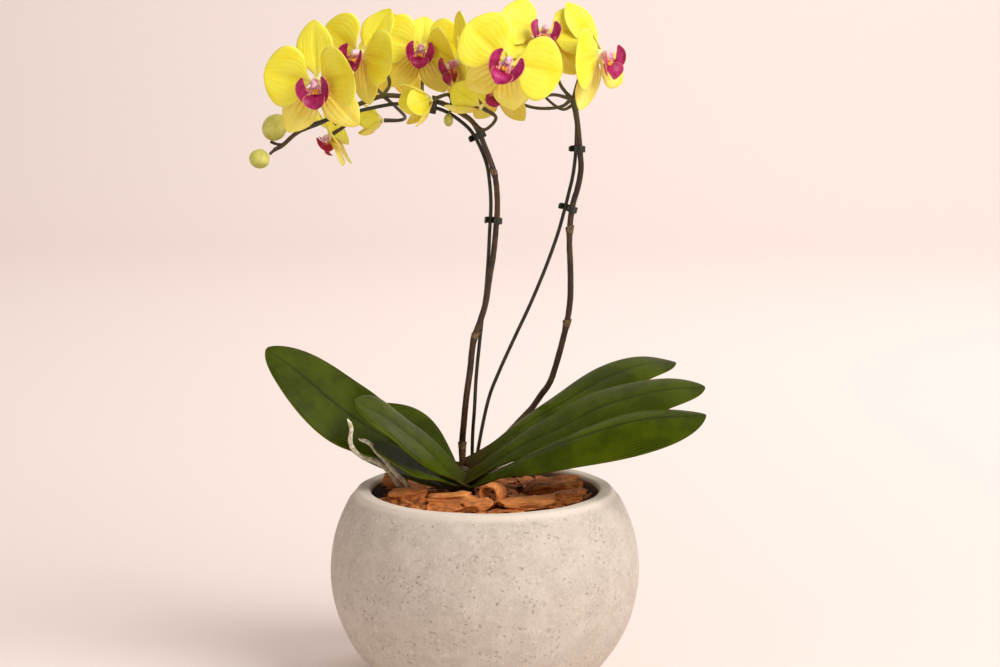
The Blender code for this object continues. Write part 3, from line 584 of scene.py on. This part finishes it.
SPIKE_RIGHT = [
    (0.001, 0.036, 0.152), (0.006, 0.046, 0.176), (0.016, 0.054, 0.192), (0.027, 0.058, 0.204),
    (0.039, 0.058, 0.217), (0.046, 0.055, 0.228), (0.054, 0.050, 0.241), (0.061, 0.044, 0.265),
    (0.067, 0.038, 0.292), (0.0695, 0.034, 0.312), (0.0695, 0.031, 0.336), (0.0685, 0.029, 0.357),
    (0.069, 0.028, 0.373), (0.071, 0.028, 0.389), (0.075, 0.028, 0.403), (0.0775, 0.028, 0.418),
    (0.0765, 0.028, 0.434), (0.075, 0.028, 0.450), (0.073, 0.028, 0.464), (0.070, 0.028, 0.475),
]
JOINTS = {"left": (0.035, 0.19, 0.46), "right": (0.05, 0.415, 0.61)}

# How each flower stands: its heart, then turn to the right, tilt up and clockwise roll in degrees,
# size, how far it has closed, its spike and the way its stalk takes from there.
FLOWERS = {
    "01": ((-0.1298, -0.036, 0.490), -10, -6, -4, 0.96, 4, "left",
           [(-0.107, -0.001, 0.469), (-0.125, -0.006, 0.487)]),
    "02": ((-0.098, 0.004, 0.511), -32, 4, 21, 0.86, 8, "left",
           [(-0.080, 0.001, 0.478), (-0.076, 0.018, 0.490)]),
    "03": ((-0.051, 0.030, 0.514), 0, 6, 6, 0.82, 6, "left",
           [(-0.048, 0.001, 0.4755), (-0.050, 0.030, 0.472), (-0.051, 0.058, 0.492)]),
    "04": ((-0.076, 0.074, 0.503), 165, 0, 0, 0.78, 6, "left",
           [(-0.080, 0.001, 0.478), (-0.088, 0.030, 0.486), (-0.085, 0.048, 0.503)]),
    "05": ((-0.042, -0.024, 0.476), -70, -15, 0, 0.60, 46, "left",
           [(-0.033, 0, 0.472), (-0.026, -0.010, 0.472)]),
    "06": ((-0.002, -0.0225, 0.4705), -118, 33, 3, 0.66, 50, "left",
           [(-0.009, 0, 0.457), (0.000, -0.012, 0.452)]),
    "07": ((0.018, -0.062, 0.5065), 3, 8, 27, 0.98, 2, "right",
           [(0.070, 0.028, 0.474), (0.057, 0.018, 0.478), (0.042, -0.008, 0.480), (0.024, -0.030, 0.496)]),
    "08": ((0.046, -0.030, 0.527), 10, 34, 8, 0.85, 4, "right",
           [(0.0695, 0.028, 0.4745), (0.060, 0.022, 0.487), (0.056, 0.010, 0.505), (0.050, 0.0, 0.525)]),
    "09": ((0.090, -0.024, 0.511), 50, -4, -20, 0.95, 6, "right",
           [(0.071, 0.028, 0.474), (0.074, 0.022, 0.487), (0.079, 0.006, 0.505)]),
    "10": ((-0.083, 0.030, 0.457), -80, 0, 0, 0.50, 50, "left",
           [(-0.080, 0.001, 0.478), (-0.070, 0.012, 0.468), (-0.064, 0.026, 0.460)]),
    "11": ((0.010, 0.026, 0.484), -20, -12, 0, 0.72, 6, "right",
           [(0.070, 0.028, 0.474), (0.060, 0.040, 0.467), (0.040, 0.052, 0.466), (0.024, 0.052, 0.473)]),
    "12": ((-0.124, 0.032, 0.445), -96, -34, 0, 0.70, 18, "left",
           [(-0.114, -0.002, 0.465), (-0.110, 0.014, 0.460)]),
    "13": ((-0.020, 0.004, 0.504), -66, -14, 12, 0.84, 8, "left",
           [(-0.022, 0, 0.4665), (-0.016, 0.006, 0.485)]),
}
TWIGS = {
    "left": [
        [(-0.1655, -0.010, 0.4362), (-0.1675, -0.0105, 0.4345), (-0.1695, -0.011, 0.4327)],
        [(-0.147, -0.006, 0.450), (-0.151, -0.008, 0.456), (-0.156, -0.009, 0.4575)],
        [(-0.159, -0.008, 0.440), (-0.164, -0.008, 0.4405), (-0.169, -0.008, 0.4425)],
        [(-0.0265, 0, 0.4685), (-0.027, -0.0015, 0.4665), (-0.0275, -0.002, 0.465)],
    ],
    "right": [
        [(0.0715, 0.028, 0.470), (0.063, 0.025, 0.466), (0.054, 0.021, 0.471), (0.045, 0.018, 0.480)],
        [(0.071, 0.028, 0.473), (0.075, 0.024, 0.480), (0.080, 0.021, 0.486)],
    ],
}

stem_skin = Finish("flower_stem", 0.42, gloss=0.45)
_, _, height = stem_skin.split("Object")
blush = stem_skin.cloud(0.016, 3)
freckles = stem_skin.cloud(0.0016, 3, stem_skin.stretched((1, 1, 0.35)))
base = stem_skin.mix(blush.rise(0.40, 0.66), shade(0.165, 0.105, 0.06), shade(0.29, 0.20, 0.11))
base = stem_skin.mix(height.rise(0.43, 0.475) * 0.75, base, shade(0.31, 0.29, 0.10))
base = stem_skin.mix(freckles.rise(0.60, 0.72) * 0.5, base, shade(0.48, 0.38, 0.25))
stem_skin.colour(base)
stem_skin.bump(freckles * 0.5 + blush * 0.5, 0.0004, 0.6)
dry_bract = Finish("dry_bract", 0.7)
fibres = dry_bract.cloud(0.0012, 3, dry_bract.stretched((1, 1, 0.2)))
dry_bract.colour(dry_bract.mix(fibres.rise(0.35, 0.7), shade(0.28, 0.20, 0.12), shade(0.52, 0.42, 0.29)))


def stance(turn, tilt, roll):
    """The rotation of a flower that faces -Y with its back sepal up."""
    return Euler((radians(-tilt), 0, radians(turn))).to_matrix() @ Matrix.Rotation(radians(roll), 3, "Y")


def bract(bm, knots, place, girth, length):
    """A short pointed scale, wrapped round a spike at a joint and lifting from it at its tip."""
    root, ahead = along(knots, [place, min(place + 0.01, 1)])
    turn = (ahead - root).to_track_quat("Z", "Y")
    made = bmesh.ops.create_grid(bm, x_segments=16, y_segments=6, size=1)["verts"]
    for vert in made:
        bearing = 2.6 * vert.co.x
        share = (vert.co.y + 1) / 2
        reach = girth + 0.0003 + 0.0006 * share**2
        rise = length * share * (0.35 + 0.65 * cos(vert.co.x * pi / 2) ** 0.8)
        vert.co = root + turn @ Vector((reach * sin(bearing), -reach * cos(bearing), rise))
        for face in vert.link_faces:
            face.material_index = 1


for which, knots, girth, taper in (("left", SPIKE_LEFT, 0.0027, 0.62), ("right", SPIKE_RIGHT, 0.0027, 0.85)):
    bm = bmesh.new()

    def swelling(place):
        at_joint = sum(exp(-(((place - joint) / 0.006) ** 2)) for joint in JOINTS[which])
        return girth * (1 + (taper - 1) * place) * (1 + 0.22 * at_joint)

    draw_rod(bm, knots, swelling, 18, 8)
    for hub, turn, tilt, roll, size, _, spike, way in FLOWERS.values():
        if spike == which:
            back = stance(turn, tilt, roll) @ Vector((0, 1, 0))
            route = [*way, Vector(hub) + back * 0.015, Vector(hub) + back * 0.002]
            draw_rod(bm, route, lambda place: 0.00135 + 0.0006 * exp(-place * 14) + 0.0005 * place**6, 12, 7)
    for route in TWIGS[which]:
        draw_rod(bm, route, lambda place: 0.0012 + 0.0005 * exp(-place * 10), 12, 7)
    closed(bm)
    for joint in JOINTS[which]:
        bract(bm, knots, joint, swelling(joint) * 0.93, 0.0065)
    roughen(bm, 0.005, 0.00018)
    piece(f"spike_{which}", bm, [stem_skin, dry_bract], "flower_stem", f"flower_spike_{which}")

# The clips -------------------------------------------------------------------------------------------
# Small spring clips of green plastic hold each spike to its stake. Each is a split ring with a ribbed
# finger tab at both ends, which are squeezed together to open it.

CLIPS = [
    ((-0.003, 0, 0.446), (-0.008, 0.005, 0.446), (-0.44, 0, 1)),
    ((0.0095, 0, 0.379), (0.0045, 0.003, 0.379), (0.05, 0, 1)),
    ((-0.119, -0.0025, 0.4625), (-0.119, -0.0085, 0.461), (1, 0, 0.5)),
    ((-0.040, 0, 0.4737), (-0.040, 0.003, 0.4682), (1, 0, -0.18)),
    ((0.0765, 0.028, 0.434), (0.0735, 0.0335, 0.434), (0, 0, 1)),
    ((0.0705, 0.028, 0.386), (0.0645, 0.0357, 0.386), (0.25, 0, 1)),
]
clip_plastic = Finish("clip_plastic", 0.38, gloss=0.5)
swirl = clip_plastic.cloud(0.004, 3)
clip_plastic.colour(clip_plastic.mix(swirl, shade(0.085, 0.10, 0.05), shade(0.15, 0.17, 0.09)))
clip_plastic.bump(swirl, 0.0002, 0.4)
for number, (on_spike, on_stake, axis) in enumerate(CLIPS, 1):
    a, b = Vector(on_spike), Vector(on_stake)
    up = Vector(axis).normalized()
    reach = (b - a) - up * (b - a).dot(up)
    ring = reach.length / 2 + 0.0037
    reach.normalize()
    bm = bmesh.new()
    bmesh.ops.create_grid(bm, x_segments=48, y_segments=6, size=1)
    for vert in bm.verts:
        bearing, free = radians(25 + 310 * (vert.co.x + 1) / 2), max(0, abs(vert.co.x) - 0.86) / 0.14
        spread = 1 + 0.5 * free**1.5 + 0.06 * sin(abs(vert.co.x) * 170) * (free > 0)
        waist = 0.0026 * (1 - 0.25 * free)
        across = 0.0041 * abs(cos(bearing)) ** 0.5 * (1 if cos(bearing) > 0 else -1)
        spot = up.cross(reach) * across + reach * sin(bearing) * ring
        vert.co = (a + b) / 2 + spot * spread + up * vert.co.y * waist
    made = piece(f"stem_clip_{number:02d}", bm, [clip_plastic], "clip_plastic", f"clip_{number:02d}")
    thicken(made, 0.0012)
    round_off(made)

# The flowers: tepals ---------------------------------------------------------------------------------
# Each open flower has three oval sepals behind and two broad round petals in front, all lemon yellow,
# paler at the heart, with fine veins that fan out from it. The lower sepals are striped orange inside.

DORSAL, PETAL, LATERAL = (0.047, 0.031), (0.040, 0.051), (0.045, 0.029)
HEART = 0.0045

tepal_skin = Finish("yellow_tepal", 0.46, gloss=0.35, subsurface_weight=0.18, subsurface_scale=0.004)
across, outwards, _ = tepal_skin.split()
sideways = across * 2 - 1
drift = tepal_skin.cloud(0.014, 3)
veins = (sideways * 34 + drift * 7).sine() * 0.5 + 0.5
fine_veins = (sideways * 95 + drift * 16).sine() * 0.5 + 0.5
sparkle = tepal_skin.cloud(0.0009, 2)
base = tepal_skin.mix(drift.rise(0.35, 0.7), shade(0.985, 0.95, 0.30), shade(0.97, 0.915, 0.16))
base = tepal_skin.mix(outwards.rise(0.34, 0.0), base, shade(0.99, 0.95, 0.62))
base = tepal_skin.mix(abs(sideways).rise(0.16, 0.0) * outwards.rise(0.95, 0.4) * 0.45, base, shade(0.90, 0.83, 0.10))
base = tepal_skin.mix(veins.rise(0.75, 1.0) * outwards.rise(0.9, 0.2) * 0.20, base, shade(0.90, 0.78, 0.10))
base = tepal_skin.mix(abs(sideways).rise(0.90, 1.0) * 0.35, base, shade(1.0, 0.96, 0.60))
tepal_skin.colour(base)
tepal_skin.bump(veins * 0.5 + fine_veins * 0.3 + sparkle * 0.35, 0.00035, 0.55)

striped_skin = Finish("striped_tepal", 0.46, gloss=0.35, subsurface_weight=0.18, subsurface_scale=0.004)
across, outwards, _ = striped_skin.split()
sideways = across * 2 - 1
drift = striped_skin.cloud(0.012, 3)
stripes = (sideways * 21 + drift * 5).sine().rise(0.25, 0.9)
base = striped_skin.mix(drift.rise(0.35, 0.7), shade(0.985, 0.93, 0.45), shade(0.96, 0.875, 0.30))
base = striped_skin.mix(stripes * outwards.rise(0.72, 0.12) * 0.75, base, shade(0.82, 0.38, 0.13))
striped_skin.colour(base)
striped_skin.bump(stripes * 0.6 + striped_skin.cloud(0.0009, 2) * 0.35, 0.0003, 0.55)


def tepal(bm, length, width, clock, lean, curl, shift, widest, fullness, claw, wave, finish=0):
    """One sepal or petal that grows outwards at a clock angle, leans forward and bends on by curl. claw
    is how narrow its root is, as a share of its width."""
    out = Vector((sin(radians(clock)), 0, cos(radians(clock))))
    wide = Vector((cos(radians(clock)), 0, -sin(radians(clock))))
    front = Vector((0, -1, 0))
    made = bmesh.ops.create_grid(bm, x_segments=20, y_segments=26, size=1, calc_uvs=True)["verts"]
    for vert in made:
        t, share = vert.co.x, eased(vert.co.y)
        heading, facing = radians(lean + curl * share / 2), radians(lean + curl * share)
        half = width / 2 * outline(share, widest, fullness) * min(1, claw + (share / 0.30) ** 1.2)
        half = max(half, 0.0016 * (1 - share) ** 0.5)
        face_way = cos(facing) * front - sin(facing) * out
        lift = 0.10 * half * t * t - 0.0011 * exp(-((t / 0.13) ** 2)) * sin(pi * min(share * 1.1, 1))
        lift += wave * sin(6.5 * share + 2.4 * t + clock) * t * t * sin(pi * share) - 0.12 * half * t**4
        spot = out * HEART * 0.7 + front * shift + length * share * (cos(heading) * out + sin(heading) * front)
        vert.co = spot + wide * half * t + face_way * lift
        for face in vert.link_faces:
            face.material_index = finish


# How far the back sepal, the left petal, the right petal and the two lower sepals of some flowers
# lean forward, where it isn't as usual.
HABITS = {
    "01": (-4, 2, 28, 4), "02": (-24, 8, 10, 4), "03": (-46, 4, 6, 4), "07": (-48, 0, 0, -42), "08": (-50, 6, 6, 0),
    "09": (-30, 6, -58, -4), "12": (10, -22, -22, 4), "13": (-6, 14, 14, 8),
}

chance = random.Random(5)
for number, (hub, turn, tilt, roll, size, close, _, _) in FLOWERS.items():
    bm = bmesh.new()
    bm.loops.layers.uv.new("UVMap")
    narrow = 1 if close < 30 else 0.72
    wave = 0.0013 * (1 + chance.uniform(-0.3, 0.3))
    back_lean, back_curl = close - 6, close * 0.7 - 8
    leans = HABITS.get(number, (back_lean, close, close, back_lean))
    tepal(bm, DORSAL[0], DORSAL[1] * narrow, chance.uniform(-3, 3), leans[0], back_curl, -0.0016,
          0.54, 0.72, 0.35, wave)
    for clock, lean in ((75, leans[2]), (-75, leans[1])):
        spread = clock + chance.uniform(-3, 3)
        tepal(bm, PETAL[0], PETAL[1] * narrow, spread, lean + chance.uniform(-2, 3), close * 0.9 - 3,
              0.0012, 0.56, 0.56, 0.14, wave)
    for clock in (143, -143):
        spread = clock + chance.uniform(-3, 3)
        tepal(bm, LATERAL[0], LATERAL[1] * narrow, spread, leans[3], back_curl, -0.0016, 0.52, 0.74, 0.4, wave, 1)
    heart = bmesh.ops.create_uvsphere(bm, u_segments=20, v_segments=10, radius=1)["verts"]
    bmesh.ops.scale(bm, vec=(HEART * 0.95, 0.0026, HEART * 0.95), verts=heart)
    bmesh.ops.remove_doubles(bm, verts=bm.verts, dist=1e-6)
    stand = Matrix.Translation(hub) @ stance(turn, tilt, roll).to_4x4() @ Matrix.Scale(size, 4)
    bmesh.ops.transform(bm, matrix=stand, verts=bm.verts)
    made = piece(f"tepals_{number}", bm, [tepal_skin, striped_skin], "yellow_tepal", f"flower_{number}_tepals")
    thicken(made, 0.0008 * size)

# The flowers: lips -----------------------------------------------------------------------------------
# The lip is the third petal, grown into three lobes: two that stand up like ears, and a pointed one
# that hangs forward. Over its yellow callus leans the pale column, which ends in the pollen cap.

lobe_skin = Finish("magenta_lip", 0.40, gloss=0.4, subsurface_weight=0.10, subsurface_scale=0.002)
across, outwards, _ = lobe_skin.split()
sideways = across * 2 - 1
drift = lobe_skin.cloud(0.005, 3)
rays = (sideways * 17 + drift * 6).sine().rise(0.0, 0.8)
base = lobe_skin.mix(drift.rise(0.35, 0.65), shade(0.58, 0.03, 0.27), shade(0.74, 0.12, 0.45))
base = lobe_skin.mix(outwards.rise(0.30, 0.05), base, shade(0.90, 0.52, 0.40))
base = lobe_skin.mix(rays * outwards.rise(0.62, 0.15) * 0.9, base, shade(0.62, 0.06, 0.10))
base = lobe_skin.mix(abs(sideways).rise(0.88, 1.0) * 0.5, base, shade(0.95, 0.66, 0.46))
lobe_skin.colour(base)
lobe_skin.bump(rays * 0.4 + drift * 0.5, 0.0003, 0.6)

column_skin = Finish("pale_column", 0.42, gloss=0.4, subsurface_weight=0.15, subsurface_scale=0.002)
flush = column_skin.cloud(0.005, 2)
column_skin.colour(column_skin.mix(flush.rise(0.38, 0.66), shade(0.97, 0.86, 0.90), shade(0.84, 0.44, 0.68)))
column_skin.bump(flush, 0.0002, 0.4)

throat_skin = Finish("striped_throat", 0.42, gloss=0.4, subsurface_weight=0.10, subsurface_scale=0.002)
across, outwards, _ = throat_skin.split()
streaks = ((across * 2 - 1) * 15 + throat_skin.cloud(0.004, 2) * 5).sine().rise(0.1, 0.9)
base = throat_skin.mix(outwards.rise(0.2, 0.8), shade(0.95, 0.80, 0.88), shade(0.96, 0.66, 0.40))
throat_skin.colour(throat_skin.mix(streaks * 0.75, base, shade(0.74, 0.16, 0.40)))
throat_skin.bump(streaks, 0.0002, 0.4)

callus_skin = Finish("spotted_callus", 0.45)
dots = callus_skin.cells(0.0011)
callus_skin.colour(callus_skin.mix(dots.rise(0.42, 0.30), shade(0.96, 0.68, 0.22), shade(0.66, 0.10, 0.08)))
callus_skin.bump(dots, 0.0002, 0.5)

MID_LOBE = [(0, -0.0045, -0.0065), (0, -0.0090, -0.0098), (0, -0.0122, -0.0128), (0, -0.0134, -0.0164),
            (0, -0.0124, -0.0202)]
EAR = [(0.0026, -0.0050, -0.0085), (0.0064, -0.0088, -0.0108), (0.0098, -0.0118, -0.0072),
       (0.0105, -0.0134, -0.0005), (0.0082, -0.0140, 0.0062)]
THROAT = [(0, -0.0030, -0.0005), (0, -0.0056, -0.0040), (0, -0.0072, -0.0080), (0, -0.0086, -0.0112)]


def lobe(bm, knots, halves, facing, cup, side=1):
    """A lobe of the lip along its knots, with a half width at each, cupped towards the way it faces."""
    knots = [Vector((x * side, y, z)) for x, y, z in knots]
    halves = [Vector((half, 0, 0)) for half in halves]
    facing = Vector(facing).normalized()
    made = bmesh.ops.create_grid(bm, x_segments=14, y_segments=20, size=1, calc_uvs=True)["verts"]
    for vert in made:
        t, share = vert.co.x, eased(vert.co.y)
        before, here, after = along(knots, [max(share - 0.03, 0), share, min(share + 0.03, 1)])
        half = max(along(halves, [share])[0].x, 0.0003)
        wide = (after - before).cross(facing).normalized()
        front = wide.cross(after - before).normalized()
        bend = radians(cup) * t
        ripple = 0.0004 * sin(9 * share + 3 * t) * t * t
        vert.co = here + wide * half * sin(bend) / radians(cup) * 1.05 + front * (half * (1 - cos(bend)) + ripple)
    return made


def coloured(part, finish):
    """Closes a small body and gives it one of its piece's finishes."""
    for face in closed(part).faces:
        face.material_index = finish
    return part


for number, (hub, turn, tilt, roll, size, close, _, _) in FLOWERS.items():
    bm = bmesh.new()
    bm.loops.layers.uv.new("UVMap")
    throat = lobe(bm, THROAT, (0.0020, 0.0056, 0.0074, 0.0050), (0, -1, 0.2), 50)
    for face in {face for vert in throat for face in vert.link_faces}:
        face.material_index = 3
    lobe(bm, MID_LOBE, (0.0040, 0.0080, 0.0098, 0.0074, 0.0010), (0, -1, 0.35), 46)
    for side in (-1, 1):
        lobe(bm, EAR, (0.0030, 0.0046, 0.0046, 0.0042, 0.0012), (-0.55 * side, -1, 0.1), 44, side)
    bmesh.ops.remove_doubles(bm, verts=bm.verts, dist=1e-6)
    bmesh.ops.solidify(bm, geom=bm.faces[:], thickness=0.0007)
    column = bmesh.new()
    draw_rod(column, [(0, -0.001, 0.000), (0, -0.0055, 0.0010), (0, -0.0100, 0.0005), (0, -0.0128, -0.0018)],
             lambda place: (0.0021 + 0.0012 * sin(pi * place)) * min(1, 5 * (1 - place) + 0.25), 18, 7)
    gather(bm, coloured(column, 1))
    for side in (-1, 1):
        callus = bmesh.new()
        ridge = [(0.0011 * side, -0.0050, -0.0050), (0.0013 * side, -0.0082, -0.0060), (0.0010 * side, -0.0100, -0.0080)]
        draw_rod(callus, ridge, lambda place: 0.0013 * min(1, 4 * (1 - place) + 0.3, 4 * place + 0.5), 14, 5)
        gather(bm, coloured(callus, 2))
    stand = Matrix.Translation(hub) @ stance(turn, tilt, roll).to_4x4() @ Matrix.Scale(size, 4)
    if close > 30:
        stand = stand @ Matrix.Translation((0, -0.0016, 0)) @ Matrix.Scale(0.6, 4)
    bmesh.ops.transform(bm, matrix=stand, verts=bm.verts)
    closed(bm)
    piece(f"lip_{number}", bm, [lobe_skin, column_skin, callus_skin, throat_skin], "magenta_lip", f"flower_{number}_lip")

# The buds --------------------------------------------------------------------------------------------
# Three buds are still shut. The edges of their sepals meet in faint seams that run to the tip.

BUDS = {
    "large": ((-0.1655, -0.009, 0.4535), (0.0097, 0.0100, 0.0106), 30),
    "end": ((-0.1775, -0.012, 0.4290), (0.0082, 0.0070, 0.0074), 20),
    "small": ((-0.0285, -0.002, 0.4590), (0.0037, 0.0037, 0.0050), 0),
}
bud_skin = Finish("bud", 0.42, gloss=0.4, subsurface_weight=0.15, subsurface_scale=0.003)
mottle = bud_skin.cloud(0.006, 3)
_, _, facing_up = [bud_skin.node("ShaderNodeSeparateXYZ", {}, {0: bud_skin.node("ShaderNodeNewGeometry", {}, {}, "Normal")}, i)
                   for i in (0, 1, 2)]
base = bud_skin.mix(mottle.rise(0.3, 0.7), shade(0.80, 0.80, 0.36), shade(0.88, 0.86, 0.46))
# The buds are painted darker on their undersides: painted shade.
base = bud_skin.mix(facing_up.rise(0.1, -0.9) * 0.7, base, shade(0.60, 0.60, 0.22))
bud_skin.colour(base)
bud_skin.bump(mottle, 0.0003, 0.5)
for name, (centre, size, turn) in BUDS.items():
    bm = bmesh.new()
    bmesh.ops.create_uvsphere(bm, u_segments=60, v_segments=36, radius=1)
    for vert in bm.verts:
        bearing = (vert.co.to_2d().angle_signed(Vector((0, 1)), 0) * 3 / pi) % 2 - 1
        seam = exp(-((bearing / 0.10) ** 2)) * (1 - vert.co.z**2) ** 0.5
        vert.co *= 1 - 0.055 * seam
        vert.co.z += 0.10 * max(vert.co.z, 0) ** 6
    bmesh.ops.scale(bm, vec=size, verts=bm.verts)
    bmesh.ops.rotate(bm, verts=bm.verts, matrix=Matrix.Rotation(radians(turn), 3, "Y"))
    bmesh.ops.translate(bm, verts=bm.verts, vec=centre)
    piece(f"shut_bud_{name}", bm, [bud_skin], "bud", f"bud_{name}")

# The table, the light and the view -------------------------------------------------------------------
# A pale sheet of paper runs back under the pot and curves up behind it. A large soft light stands to
# the right and above, and a weaker one fills from the left.

paper = Finish("backdrop_paper", 0.9, gloss=0.1)
paper.colour(shade(0.965, 0.915, 0.895))
bm = bmesh.new()
bmesh.ops.create_grid(bm, x_segments=2, y_segments=80, size=1)
FLOOR_RUN, SWEEP = 6.8, 1.5
for vert in bm.verts:
    run = (vert.co.y + 1) * 6
    bend = min(max((run - FLOOR_RUN) / SWEEP, 0), pi / 2)
    flat, climb = min(run, FLOOR_RUN), max(run - FLOOR_RUN - SWEEP * pi / 2, 0)
    vert.co = (vert.co.x * 5, flat - 3.6 + SWEEP * sin(bend), SWEEP * (1 - cos(bend)) + climb)
mesh = bpy.data.meshes.new("backdrop")
bm.to_mesh(mesh)
bm.free()
mesh.shade_smooth()
mesh.materials.append(paper.material)
backdrop = bpy.data.objects.new("backdrop", mesh)
bpy.context.scene.collection.objects.link(backdrop)


def soft_light(name, place, aim, size, power, colour):
    lamp = bpy.data.lights.new(name, "AREA")
    lamp.shape = "DISK"
    lamp.size = size
    lamp.energy = power
    lamp.color = colour
    made = bpy.data.objects.new(name, lamp)
    made.location = place
    made.rotation_euler = (Vector(aim) - Vector(place)).to_track_quat("-Z", "Y").to_euler()
    bpy.context.scene.collection.objects.link(made)


soft_light("window", (1.6, -1.3, 2.0), (0, 0, 0.30), 2.0, 62, (1.0, 0.97, 0.94))
soft_light("fill", (-1.8, -1.6, 1.0), (0, 0, 0.30), 1.6, 2.5, (1.0, 0.96, 0.94))
soft_light("paper_wash", (1.2, 1.6, 3.0), (0.5, 4.5, 0.7), 3.0, 66, (1.0, 0.98, 0.97))

world = bpy.data.worlds.new("room")
world.use_nodes = True
world.node_tree.nodes["Background"].inputs["Color"].default_value = shade(1.0, 0.955, 0.93)
world.node_tree.nodes["Background"].inputs["Strength"].default_value = 0.48
bpy.context.scene.world = world

lens = bpy.data.cameras.new("view")
lens.lens = 85
lens.sensor_width = 36
lens.clip_end = 50
camera = bpy.data.objects.new("view", lens)
target, distance, elevation = Vector((0.01225, 0, 0.2881)), 1.895, radians(8.5)
camera.location = target + distance * Vector((0, -cos(elevation), sin(elevation)))
camera.rotation_euler = (pi / 2 - elevation, 0, 0)
bpy.context.scene.collection.objects.link(camera)
bpy.context.scene.camera = camera
bpy.context.scene.view_settings.view_transform = "Standard"
